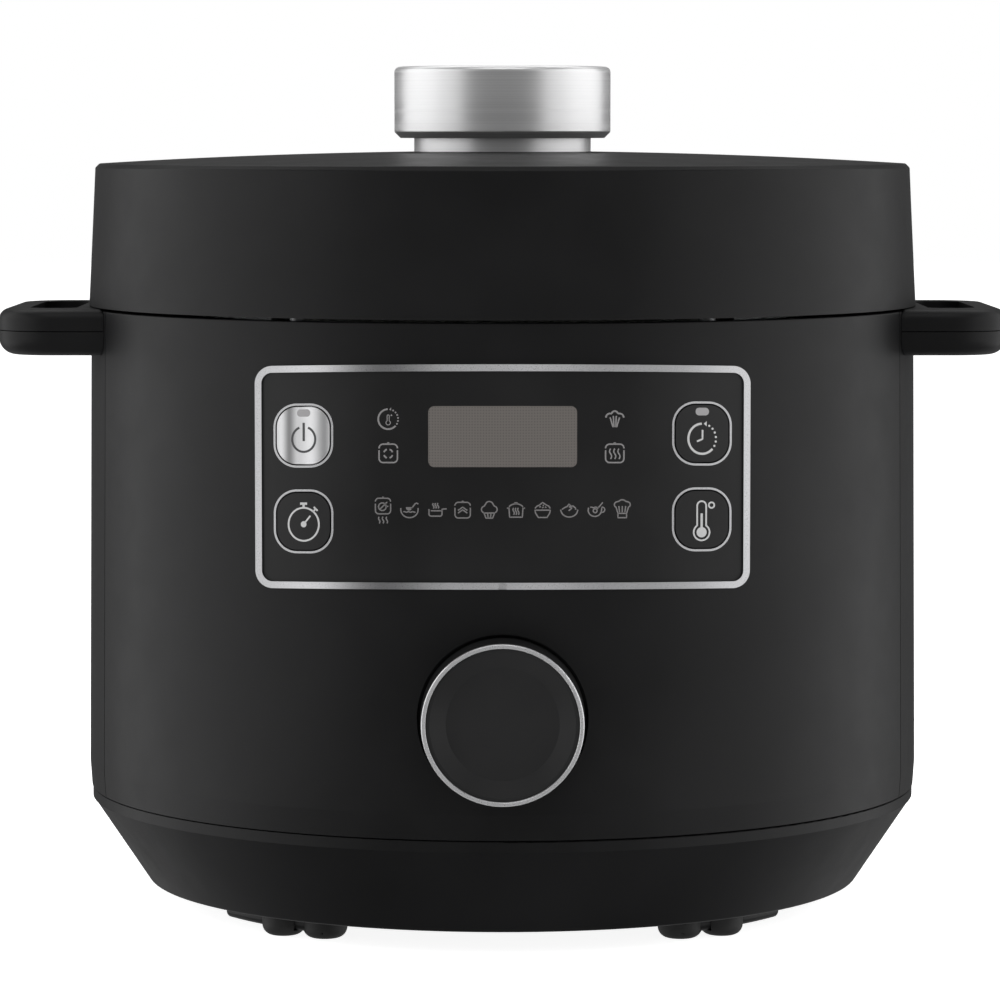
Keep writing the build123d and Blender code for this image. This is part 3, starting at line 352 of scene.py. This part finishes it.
def turned_metal(name, colour, roughness, bump=0.15, lacquer=0.0):
    """Metal turned on the cooker's axis: rings by radius and fine lines by height."""
    material, tree, shader = new_material(name)
    shader.inputs["Metallic"].default_value = 1.0 - lacquer
    coords = tree.nodes.new("ShaderNodeTexCoord")
    split = tree.nodes.new("ShaderNodeSeparateXYZ")
    tree.links.new(coords.outputs["Object"], split.inputs["Vector"])
    radius = tree.nodes.new("ShaderNodeVectorMath")
    radius.operation = "LENGTH"
    flat = tree.nodes.new("ShaderNodeCombineXYZ")
    tree.links.new(split.outputs["X"], flat.inputs["X"])
    tree.links.new(split.outputs["Y"], flat.inputs["Y"])
    tree.links.new(flat.outputs["Vector"], radius.inputs[0])
    place = tree.nodes.new("ShaderNodeCombineXYZ")
    tree.links.new(radius.outputs["Value"], place.inputs["X"])
    tree.links.new(split.outputs["Z"], place.inputs["Y"])
    lines = tree.nodes.new("ShaderNodeTexNoise")
    lines.noise_dimensions = "2D"
    lines.inputs["Scale"].default_value = 2600.0
    lines.inputs["Detail"].default_value = 2.0
    tree.links.new(place.outputs["Vector"], lines.inputs["Vector"])
    dark = tuple(c * 0.92 for c in colour)
    tint = ramp_between(tree, lines.outputs["Fac"], 0.3, 0.7, 0.0, 1.0)
    tree.links.new(mix_colours(tree, tint, dark, colour), shader.inputs["Base Color"])
    rough = ramp_between(tree, lines.outputs["Fac"], 0.3, 0.7, roughness - 0.04, roughness + 0.06)
    tree.links.new(rough, shader.inputs["Roughness"])
    add_bump(tree, shader, lines.outputs["Fac"], bump, 0.00002)
    return material


def soft_rubber(name, colour, roughness):
    """Rubber or silicone with a dusty, slightly uneven surface."""
    material, tree, shader = new_material(name)
    coords = tree.nodes.new("ShaderNodeTexCoord")
    dust = add_noise(tree, coords, 120.0, 5.0)
    pale = tuple(min(1.0, c * 1.35 + 0.004) for c in colour)
    tint = ramp_between(tree, dust.outputs["Fac"], 0.4, 0.75, 0.0, 1.0)
    tree.links.new(mix_colours(tree, tint, colour, pale), shader.inputs["Base Color"])
    rough = ramp_between(tree, dust.outputs["Fac"], 0.3, 0.7, roughness - 0.08, roughness + 0.08)
    tree.links.new(rough, shader.inputs["Roughness"])
    add_bump(tree, shader, add_noise(tree, coords, 1800.0, 2.0).outputs["Fac"], 0.25, 0.00008)
    return material


def display_pattern(name):
    """Smoked display film with its fine grid of dots."""
    material, tree, shader = new_material(name)
    coords = tree.nodes.new("ShaderNodeTexCoord")
    split = tree.nodes.new("ShaderNodeSeparateXYZ")
    tree.links.new(coords.outputs["Object"], split.inputs["Vector"])
    swings = []
    for axis in ("X", "Z"):
        turn = tree.nodes.new("ShaderNodeMath")
        turn.operation = "MULTIPLY"
        turn.inputs[1].default_value = 2 * math.pi / DOT_PITCH
        tree.links.new(split.outputs[axis], turn.inputs[0])
        swing = tree.nodes.new("ShaderNodeMath")
        swing.operation = "SINE"
        tree.links.new(turn.outputs["Value"], swing.inputs[0])
        swings.append(swing)
    both = tree.nodes.new("ShaderNodeMath")
    both.operation = "ADD"
    tree.links.new(swings[0].outputs["Value"], both.inputs[0])
    tree.links.new(swings[1].outputs["Value"], both.inputs[1])
    dots = ramp_between(tree, both.outputs["Value"], 0.2, 1.6, 0.0, 1.0)
    tree.links.new(mix_colours(tree, dots, (0.115, 0.104, 0.096), (0.078, 0.071, 0.066)),
                   shader.inputs["Base Color"])
    haze = add_noise(tree, coords, 60.0, 3.0)
    tree.links.new(ramp_between(tree, haze.outputs["Fac"], 0.3, 0.7, 0.28, 0.4), shader.inputs["Roughness"])
    return material


def circuit_board(name):
    """Green lacquered board with a pale grid of tracks."""
    material, tree, shader = new_material(name)
    coords = tree.nodes.new("ShaderNodeTexCoord")
    brick = tree.nodes.new("ShaderNodeTexBrick")
    brick.inputs["Scale"].default_value = 160.0
    brick.inputs["Mortar Size"].default_value = 0.06
    brick.inputs["Color1"].default_value = (0.010, 0.075, 0.030, 1.0)
    brick.inputs["Color2"].default_value = (0.014, 0.110, 0.045, 1.0)
    brick.inputs["Mortar"].default_value = (0.030, 0.200, 0.075, 1.0)
    tree.links.new(coords.outputs["Object"], brick.inputs["Vector"])
    tree.links.new(brick.outputs["Color"], shader.inputs["Base Color"])
    haze = add_noise(tree, coords, 80.0, 3.0)
    tree.links.new(ramp_between(tree, haze.outputs["Fac"], 0.3, 0.7, 0.25, 0.4), shader.inputs["Roughness"])
    return material


def clad(material, *names):
    """Give CAD nodes a material."""
    for name in names:
        mesh = nodes[name].data
        mesh.materials.clear()
        mesh.materials.append(material)


housing_black = moulded_plastic("housing_black", (0.0070, 0.0070, 0.0073), 0.42)
lid_black = moulded_plastic("lid_black", (0.0070, 0.0070, 0.0073), 0.42)
base_black = moulded_plastic("base_black", (0.0050, 0.0050, 0.0053), 0.38)
handle_black = moulded_plastic("handle_black", (0.0060, 0.0060, 0.0063), 0.45)
panel_black = moulded_plastic("panel_black", (0.0120, 0.0120, 0.0122), 0.35, grain=0.05)
cap_black = moulded_plastic("cap_black", (0.0140, 0.0140, 0.0142), 0.33, grain=0.05)
dial_black = moulded_plastic("dial_black", (0.0145, 0.0145, 0.0148), 0.38)
grey_plastic = moulded_plastic("grey_plastic", (0.16, 0.16, 0.17), 0.5)
cup_plastic = moulded_plastic("cup_plastic", (0.020, 0.020, 0.021), 0.22, grain=0.1)

# Place across the piece, from 0 to 1, and brightness there: painted reflections, as pale and dark bands in
# the colour.
FRAME_PAINTED_REFLECTIONS = ((0.0, 0.62), (0.12, 0.80), (0.26, 0.30), (0.42, 0.85), (0.56, 1.0), (0.72, 0.7), (0.86, 0.5),
               (0.98, 0.7))
CAP_PAINTED_REFLECTIONS = ((0.05, 0.75), (0.14, 0.9), (0.28, 0.28), (0.42, 0.75), (0.62, 1.0), (0.84, 0.38), (0.95, 0.7))
frame_low, frame_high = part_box("panel_frame")
cap_low, cap_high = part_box("power_button")
# The frame and the power cap carry painted reflection bands in their colour.
chrome_trim = metal_with_painted_reflections("chrome_trim", (0.80, 0.80, 0.815), 0.30, 0.30, frame_low.x, frame_high.x,
                           FRAME_PAINTED_REFLECTIONS)
silver_cap = metal_with_painted_reflections("silver_cap", (0.80, 0.80, 0.81), 0.32, 0.35, cap_low.x, cap_high.x, CAP_PAINTED_REFLECTIONS)
ring_metal = brushed_metal("ring_metal", (0.50, 0.50, 0.51), 0.30, (1, 1, 1), 2500.0, 0.004, 0.30)
dial_metal = brushed_metal("dial_metal", (0.80, 0.80, 0.81), 0.30, (1, 1, 1), 2500.0, 0.004, 0.25)
knob_metal = turned_metal("knob_metal", (0.90, 0.90, 0.905), 0.36, 0.12, 0.14)
sheet_steel = brushed_metal("sheet_steel", (0.62, 0.62, 0.63), 0.28, (1, 1, 18), 400.0)
zinc_steel = brushed_metal("zinc_steel", (0.55, 0.56, 0.57), 0.35, (1, 1, 1), 300.0)
cast_metal = brushed_metal("cast_metal", (0.60, 0.60, 0.61), 0.45, (1, 1, 1), 1200.0, 0.4)
pot_coating = moulded_plastic("pot_coating", (0.030, 0.030, 0.032), 0.33, grain=0.5, grain_scale=1500.0)
silicone = soft_rubber("silicone", (0.38, 0.38, 0.365), 0.55)
foot_rubber = soft_rubber("foot_rubber", (0.010, 0.010, 0.010), 0.62)
brass = brushed_metal("brass", (0.78, 0.62, 0.33), 0.25, (1, 8, 1))
board_green = circuit_board("board_green")
display_film = display_pattern("display_film")

clad(housing_black, "front_housing", "rear_housing", "trim_band")
clad(lid_black, "lid_cover")
clad(base_black, "base_shell", "lid_base", "top_deck", "dial_socket", "steam_vent", "inlet_plate",
     "mains_inlet")
clad(handle_black, "left_handle_base", "left_handle_cover", "right_handle_base", "right_handle_cover")
clad(panel_black, "panel_fascia")
clad(cap_black, "timer_button", "delay_button", "temperature_button")
clad(dial_black, "dial_knob", "dial_face")
clad(grey_plastic, "panel_carrier", "display_module", "encoder", "steam_passage", "knob_core",
     "knob_bushing")
clad(cup_plastic, "condensate_cup")
clad(chrome_trim, "panel_frame")
clad(ring_metal, "button_rings")
clad(dial_metal, "dial_ring")
clad(silver_cap, "power_button")
clad(knob_metal, "lock_knob", "knob_cap", "knob_neck")
clad(sheet_steel, "lock_ring", "inner_shell", "pressure_plate", "float_valve")
clad(zinc_steel, "base_screws", "handle_screws", "lid_screws", "heating_element", "sensor_spring",
     "dial_shaft", "pressure_valve", "knob_shaft", "cam_disc", "rear_jaw", "left_jaw", "right_jaw")
clad(cast_metal, "heating_plate", "temperature_sensor")
clad(pot_coating, "cooking_pot")
clad(silicone, "sealing_ring")
clad(foot_rubber, "rubber_feet")
clad(brass, "inlet_pins")
clad(board_green, "control_board", "power_board")
clad(display_film, "display_window")


def compress_spring():
    """The sensor's spring gets a mesh of its own; nothing here shortens it."""
    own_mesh(nodes["sensor_spring"])


compress_spring()

print_grey = moulded_plastic("print_grey", (0.190, 0.185, 0.185), 0.45, grain=0.0, spread=0.1)
print_dim = moulded_plastic("print_dim", (0.145, 0.140, 0.140), 0.45, grain=0.0, spread=0.1)
print_dark = moulded_plastic("print_dark", (0.060, 0.060, 0.062), 0.45, grain=0.0, spread=0.1)
print_silver = brushed_metal("print_silver", (0.50, 0.50, 0.50), 0.35, (1, 1, 6), 2500.0, 0.004, 0.7)
lamp_grey = moulded_plastic("lamp_grey", (0.260, 0.255, 0.258), 0.35, grain=0.0, spread=0.08)


# ---- control panel artwork ------------------------------------------------------------------
def lidded_pot(cx, cz, w, h):
    """Rounded pot seen from the front with a knob on its lid: two strokes and a knob."""
    r = w * 0.22
    top = cz + h / 2
    low = cz - h / 2
    joint = top - h * 0.28
    lid = [(cx - w / 2, joint + 0.3)] + arc(cx - w / 2 + r, top - r, r, 180, 90, 6)
    lid += arc(cx + w / 2 - r, top - r, r, 90, 0, 6) + [(cx + w / 2, joint + 0.3)]
    body = [(cx - w / 2, joint - 0.3)] + arc(cx - w / 2 + r, low + r, r, 180, 270, 6)
    body += arc(cx + w / 2 - r, low + r, r, 270, 360, 6) + [(cx + w / 2, joint - 0.3)]
    knob = arc(cx, top + 0.1, w * 0.09, 0, 180, 8)
    return [lid, body], knob


def steam(cx, z0, z1, gap, swing):
    """Three wavy strokes side by side."""
    return [wave(cx + gap * i, z0, z1, swing) for i in (-1, 0, 1)]


def icon_fry_pot():
    """Pot with a leaf of food in it, on heat."""
    strokes, knob = lidded_pot(0, 1.3, 4.6, 4.7)
    strokes += [circle(-0.2, 1.1, 1.15, 18), [(-0.9, 0.4), (0.7, 1.9)], [(0.5, 1.9), (1.3, 2.5)],
                [(0.7, 1.2), (1.6, 1.2)]]
    strokes += steam(0, -3.9, -1.9, 1.15, 0.22)
    return strokes, [knob]


def icon_soup():
    """Bowl with a ladle."""
    bowl = [(-2.6, 0.9)] + arc(0, 0.3, 2.6, 182, 358, 20) + [(2.6, 0.9)]
    bowl = [(x, z * 0.9 - 0.1) for x, z in bowl]
    ladle = [(0.5, 0.4), (1.7, 2.0), (2.2, 2.2), (2.7, 1.9)]
    cup = arc(-0.1, 1.0, 1.05, 180, 360, 10)
    level = wave(0, -1.8, 1.8, 0.1, 3.0, 18)
    level = [(along, across - 0.45) for across, along in level]
    return [bowl, ladle, level], [cup]


def icon_pan():
    """Saucepan with steam."""
    pan = [(-2.1, 0.4), (-2.1, -1.0)] + arc(-1.5, -1.1, 0.6, 180, 270, 5)
    pan += arc(1.2, -1.1, 0.6, 270, 360, 5) + [(1.8, -1.0), (1.8, 0.4), (3.2, 0.5)]
    return [pan, [(-1.6, -0.1), (1.5, -0.1)]] + steam(-0.1, 0.6, 2.2, 0.7, 0.2), []


def icon_reheat():
    """Pot with two arrowheads pointing up."""
    strokes, knob = lidded_pot(0, 0.1, 4.6, 4.7)
    for lift in (0.0, -0.8):
        strokes.append([(-1.4, lift), (0, 1.0 + lift), (1.4, lift)])
    return strokes, [knob]


def icon_cake():
    """Small cake in a paper case."""
    case = [(-1.6, -0.7), (-1.0, -2.3), (1.0, -2.3), (1.6, -0.7)]
    top = arc(-1.35, 0.3, 1.0, 250, 100, 10) + arc(0, 1.5, 1.2, 160, 20, 10)
    top += arc(1.35, 0.3, 1.0, 80, -70, 10)
    folds = [[(-0.5, -0.9), (-0.35, -2.2)], [(0.5, -0.9), (0.35, -2.2)], [(-1.6, -0.75), (1.6, -0.75)]]
    return [case, top] + folds, []


def icon_casserole():
    """Wide casserole with lid and ears."""
    lid = arc(0, -1.0, 3.0, 135, 45, 12)
    body = [(-2.1, 0.9), (-1.9, -2.0), (1.9, -2.0), (2.1, 0.9)]
    ears = [[(-2.7, 0.7), (-2.1, 0.7)], [(2.1, 0.7), (2.7, 0.7)]]
    knob = rounded_box(0, 2.2, 1.0, 0.6, 0.2)
    return [lid, body] + ears + steam(0, -1.3, 0.8, 0.7, 0.2), [knob]


def icon_rice():
    """Bowl of rice."""
    heap = [(-2.3, 0.6), (-1.7, 1.3), (-1.0, 1.6), (0.0, 2.4), (1.0, 1.7), (1.8, 1.3), (2.3, 0.6)]
    bowl = [(-2.3, 0.1), (-2.1, -0.8), (-1.3, -2.1), (1.3, -2.1), (2.1, -0.8), (2.3, 0.1), (-2.3, 0.1)]
    grains = [[(-1.0, 1.0), (-0.5, 1.2)], [(-0.2, 0.8), (0.3, 1.0)], [(0.7, 1.1), (1.1, 0.8)],
              [(0.0, 1.6), (0.4, 1.5)]]
    return [heap, bowl] + grains, []


def icon_yoghurt():
    """Bowl with a swirl of cream."""
    bowl = [(-2.6, 0.4)] + arc(0, 0.3, 2.5, 190, 350, 16) + [(2.6, 0.4)]
    bowl = [(x, z * 0.85 - 0.1) for x, z in bowl]
    swirl = [(-2.2, 0.3), (-1.3, 0.9), (-0.6, 1.2), (-0.1, 1.9), (0.5, 1.3), (1.2, 1.3), (1.8, 0.8),
             (2.0, 0.2)]
    return [bowl, swirl, [(-0.1, 1.2), (0.8, 0.7), (-0.2, -0.1)]], []


def icon_dessert():
    """Cup with a spoon."""
    cup = [(-2.2, 1.0)] + arc(-0.3, 0.2, 2.0, 185, 355, 14) + [(1.8, 1.0)]
    cup = [(x, z * 0.95 - 0.1) for x, z in cup]
    handle = arc(1.9, 0.2, 0.8, 100, -100, 8)
    spoon = [(0.2, 0.2), (2.1, 2.4)]
    level = [(along - 0.4, across + 0.9) for across, along in wave(0, -1.3, 1.3, 0.1, 2.0, 12)]
    return [cup, handle, spoon, circle(-0.2, -0.1, 0.6, 12), level], []


def icon_hat():
    """Cook's hat."""
    crown = [(-1.3, -0.9), (-1.9, 1.0)] + arc(-1.5, 1.7, 0.9, 220, 100, 8)
    crown += arc(0, 1.9, 1.3, 140, 40, 8) + arc(1.5, 1.7, 0.9, 80, -40, 8) + [(1.9, 1.0), (1.3, -0.9)]
    band = [(-1.3, -0.9), (-1.3, -2.2), (1.3, -2.2), (1.3, -0.9), (-1.3, -0.9)]
    folds = [[(x, -0.6), (x * 1.3, 1.3)] for x in (-0.8, 0.0, 0.8)]
    return [crown, band] + folds, []


def draw_programme_icons():
    """Row of ten programme icons under the display."""
    art = Print(surface("panel_fascia"))
    makers = (icon_fry_pot, icon_soup, icon_pan, icon_reheat, icon_cake, icon_casserole, icon_rice,
              icon_yoghurt, icon_dessert, icon_hat)
    for place, maker in enumerate(makers):
        strokes, fills = maker()
        x = ICON_FIRST_X + place * ICON_PITCH
        for points in shifted(strokes, x, ICON_Z, ICON_SCALE):
            art.stroke(points, ICON_STROKE)
        for points in shifted(fills, x, ICON_Z, ICON_SCALE):
            art.fill(points)
    art.finish("programme_icons", print_dim, "root")


def count_down_ring(art, cx, cz, r, width, squash=1.0):
    """Ring that is solid on the left and dotted on the right, with an arrowhead at the top."""
    art.stroke(arc(cx, cz, r, 92, 318, 36, squash), width)
    for step in range(6):
        a = math.radians(-28 + step * 17.5)
        x, z = cx + r * squash * math.cos(a), cz + r * math.sin(a)
        art.fill(circle(x, z, width * 0.52, 10))
    x, z = cx + r * 0.10, cz + r
    art.fill([(x, z), (x + r * 0.20, z + r * 0.17), (x + r * 0.20, z - r * 0.17)])


def draw_status_icons():
    """Two icons at each side of the display."""
    art = Print(surface("panel_fascia"))
    x, z = STATUS_LEFT_X, STATUS_TOP_Z
    count_down_ring(art, x, z, 3.35, 0.6)
    art.stroke([(x - 0.35, z - 0.6), (x - 0.35, z + 1.1)] + arc(x, z + 1.1, 0.35, 180, 0, 6)
               + [(x + 0.35, z - 0.6)], 0.3)
    art.stroke(arc(x, z - 1.2, 0.75, 115, 425, 14), 0.3)
    art.fill(circle(x + 1.1, z + 1.3, 0.3, 10))
    pots = ((STATUS_LEFT_X, STATUS_LOW_Z), (STATUS_RIGHT_X, STATUS_LOW_Z))
    for x, z in pots:
        strokes, knob = lidded_pot(x, z, STATUS_POT_SIZE, STATUS_POT_SIZE)
        for points in strokes:
            art.stroke(points, 0.5)
        art.fill(knob)
    x, z = pots[0]
    for quarter in range(4):
        art.stroke(arc(x, z - 0.1, 1.5, quarter * 90 + 18, quarter * 90 + 72, 6), 0.55)
    x, z = pots[1]
    for points in steam(x, z - 1.9, z + 1.6, 1.4, 0.35):
        art.stroke(points, 0.45)
    x, z = STATUS_RIGHT_X, STATUS_TOP_Z
    cloud = arc(x - 1.6, z + 0.5, 1.4, 180, 75, 8) + arc(x, z + 1.6, 1.1, 150, 30, 8)
    cloud += arc(x + 1.6, z + 0.5, 1.4, 105, 0, 8)
    art.stroke(cloud, 0.6)
    for foot, tip in ((-0.6, -1.6), (-0.3, -0.5), (0.3, 0.5), (0.6, 1.6)):
        art.stroke([(x + foot, z - 2.7), (x + tip, z + (0.6 if abs(tip) > 1 else 1.1))], 0.5)
    art.finish("status_icons", print_grey, "root")


def draw_power_symbol():
    """Power symbol and lamp on the silver cap."""
    x, z = POWER_PLACE
    art = Print(surface("power_button"))
    art.stroke(arc(x, z, 4.25, 112, 428, 48, SIDE_SQUASH), 0.75)
    art.stroke([(x, z - 0.6), (x, z + 5.6)], 0.8)
    art.finish("power_symbol", print_dark, "power")
    lamp = Print(surface("power_button"))
    lamp.fill(rounded_box(x, POWER_LAMP_Z, 4.5, 2.5, 1.1))
    lamp.finish("power_lamp", lamp_grey, "power")


def draw_timer_symbol():
    """Stopwatch on the timer button."""
    x, z = TIMER_PLACE
    art = Print(surface("timer_button"))
    art.stroke(circle(x, z, 5.6, 56, SIDE_SQUASH), 0.6)
    art.stroke([(x, z + 5.5), (x, z + 6.8)], 0.8)
    art.stroke([(x - 1.2, z + 7.0), (x + 1.2, z + 7.0)], 0.8)
    art.stroke([(x + 3.3, z + 4.3), (x + 4.2, z + 5.3)], 0.6)
    art.stroke([(x + 3.5, z + 5.9), (x + 4.8, z + 4.6)], 0.6)
    art.fill(circle(x, z, 1.05, 20, SIDE_SQUASH))
    art.stroke([(x, z), (x + 2.3, z + 2.9)], 0.55)
    art.finish("timer_symbol", print_silver, "timer")


def draw_delay_symbol():
    """Clock with a dotted right half, and a lamp."""
    x, z = DELAY_PLACE
    art = Print(surface("delay_button"))
    count_down_ring(art, x, z, 5.1, 0.75, SIDE_SQUASH)
    art.stroke([(x - 1.8, z - 0.9), (x + 0.1, z - 0.1), (x + 0.1, z + 3.0)], 0.6)
    art.finish("delay_symbol", print_silver, "delay")
    lamp = Print(surface("delay_button"))
    lamp.fill(rounded_box(x, DELAY_LAMP_Z, 4.6, 2.6, 1.2))
    lamp.finish("delay_lamp", lamp_grey, "delay")


def draw_temperature_symbol():
    """Thermometer with a degree ring."""
    x, z = TEMPERATURE_PLACE
    bulb, stem = 2.75, 1.55
    join = math.degrees(math.acos(stem / bulb))
    art = Print(surface("temperature_button"))
    outline = arc(x, z, bulb, 90 + (90 - join), 450 - (90 - join), 30)
    tube = [(x + stem, z + 9.0)] + arc(x, z + 9.0, stem, 0, 180, 12) + [(x - stem, z + 9.0)]
    art.stroke(outline + tube + outline[:1], 0.55)
    art.fill(circle(x, z, 1.75, 24))
    art.stroke([(x, z), (x, z + 6.4)], 0.8)
    art.stroke(circle(x + 3.4, z + 9.2, 0.95, 16), 0.55)
    art.finish("temperature_symbol", print_silver, "temperature")


draw_programme_icons()
draw_status_icons()
draw_power_symbol()
draw_timer_symbol()
draw_delay_symbol()
draw_temperature_symbol()


# ---- stage, light and camera ----------------------------------------------------------------
def make_stage():
    """Plain white floor, bright from its own light so that the far part stays as pale as the near."""
    half = FLOOR_HALF_WIDTH
    material, tree, shader = new_material("paper")
    coords = tree.nodes.new("ShaderNodeTexCoord")
    noise = add_noise(tree, coords, 3.0, 2.0)
    tree.links.new(mix_colours(tree, noise.outputs["Fac"], (0.80, 0.80, 0.80), (0.82, 0.82, 0.82)),
                   shader.inputs["Base Color"])
    shader.inputs["Roughness"].default_value = 0.9
    shader.inputs["Specular IOR Level"].default_value = 0.0
    shader.inputs["Emission Color"].default_value = (1.0, 1.0, 1.0, 1.0)
    shader.inputs["Emission Strength"].default_value = FLOOR_GLOW
    corners = [(-half, -half, 0.0), (half, -half, 0.0), (half, half, 0.0), (-half, half, 0.0)]
    floor = mesh_object("floor", corners, [(0, 1, 2, 3)], material)
    floor.visible_glossy = False


def area_light(name, azimuth, elevation, distance, width, height, radiance, aim=(0.0, 0.0, 0.15)):
    """Soft box seen from the object at an azimuth from the camera's side, in degrees."""
    turn = math.radians(azimuth)
    rise = math.radians(elevation)
    offset = Vector((math.sin(turn) * math.cos(rise), -math.cos(turn) * math.cos(rise), math.sin(rise)))
    data = bpy.data.lights.new(name, "AREA")
    data.shape = "RECTANGLE"
    data.size = width
    data.size_y = height
    data.energy = radiance * math.pi * width * height
    obj = bpy.data.objects.new(name, data)
    obj.location = Vector(aim) + offset * distance
    obj.rotation_euler = (-offset).to_track_quat("-Z", "Y").to_euler()
    bpy.context.scene.collection.objects.link(obj)


def make_lights():
    """Soft boxes at both sides, high behind for the lid's top and high in front, and the surround."""
    for side, name in ((-1, "left"), (1, "right")):
        area_light(name + "_side_box", azimuth=side * 100.0, elevation=8.0, distance=1.6,
                   width=1.7, height=2.2, radiance=SIDE_RADIANCE)
        area_light(name + "_front_box", azimuth=side * 57.0, elevation=8.0, distance=1.9,
                   width=1.0, height=2.0, radiance=FRONT_RADIANCE)
    area_light("top_box", azimuth=180.0, elevation=62.0, distance=1.8,
               width=2.4, height=1.2, radiance=TOP_RADIANCE)
    area_light("high_front_box", azimuth=0.0, elevation=62.0, distance=1.9,
               width=1.5, height=0.8, radiance=HIGH_FRONT_RADIANCE)
    make_world()


def make_world():
    """White behind everything, an even pale light on matt surfaces, and a dim room in reflections."""
    world = bpy.data.worlds.new("surround")
    bpy.context.scene.world = world
    world.use_nodes = True
    tree = world.node_tree
    background = tree.nodes["Background"]
    background.inputs["Color"].default_value = (1.0, 1.0, 1.0, 1.0)
    path = tree.nodes.new("ShaderNodeLightPath")
    matt_or_gloss = tree.nodes.new("ShaderNodeMapRange")
    matt_or_gloss.inputs["To Min"].default_value = ROOM_LIGHT
    tree.links.new(reflected_room(tree), matt_or_gloss.inputs["To Max"])
    tree.links.new(path.outputs["Is Glossy Ray"], matt_or_gloss.inputs["Value"])
    seen = tree.nodes.new("ShaderNodeMix")
    seen.inputs["B"].default_value = 1.0
    tree.links.new(path.outputs["Is Camera Ray"], seen.inputs["Factor"])
    tree.links.new(matt_or_gloss.outputs["Result"], seen.inputs["A"])
    tree.links.new(seen.outputs["Result"], background.inputs["Strength"])


def reflected_room(tree):
    """Brightness of the room in reflections: dim, with the pale floor behind the object below."""
    coords = tree.nodes.new("ShaderNodeTexCoord")
    split = tree.nodes.new("ShaderNodeSeparateXYZ")
    tree.links.new(coords.outputs["Generated"], split.inputs["Vector"])
    behind = ramp_between(tree, split.outputs["Y"], 0.15, 0.65, 0.0, 1.0)
    below = ramp_between(tree, split.outputs["Z"], -0.2, -0.5, 0.0, 1.0)
    both = tree.nodes.new("ShaderNodeMath")
    both.operation = "MULTIPLY"
    tree.links.new(behind, both.inputs[0])
    tree.links.new(below, both.inputs[1])
    return ramp_between(tree, both.outputs["Value"], 0.0, 1.0, ROOM_REFLECTION, REAR_FLOOR_REFLECTION)


def make_camera():
    """Camera a little above the controls, looking slightly down at the front."""
    data = bpy.data.cameras.new("camera")
    data.sensor_width = 36.0
    data.lens = CAMERA_LENS
    data.clip_start = 0.05
    camera = bpy.data.objects.new("camera", data)
    camera.location = CAMERA_PLACE
    camera.rotation_euler = (math.radians(90.0 - CAMERA_PITCH_DOWN), 0.0, 0.0)
    bpy.context.scene.collection.objects.link(camera)
    bpy.context.scene.camera = camera


make_stage()
make_lights()
make_camera()
bpy.context.scene.view_settings.view_transform = "Standard"
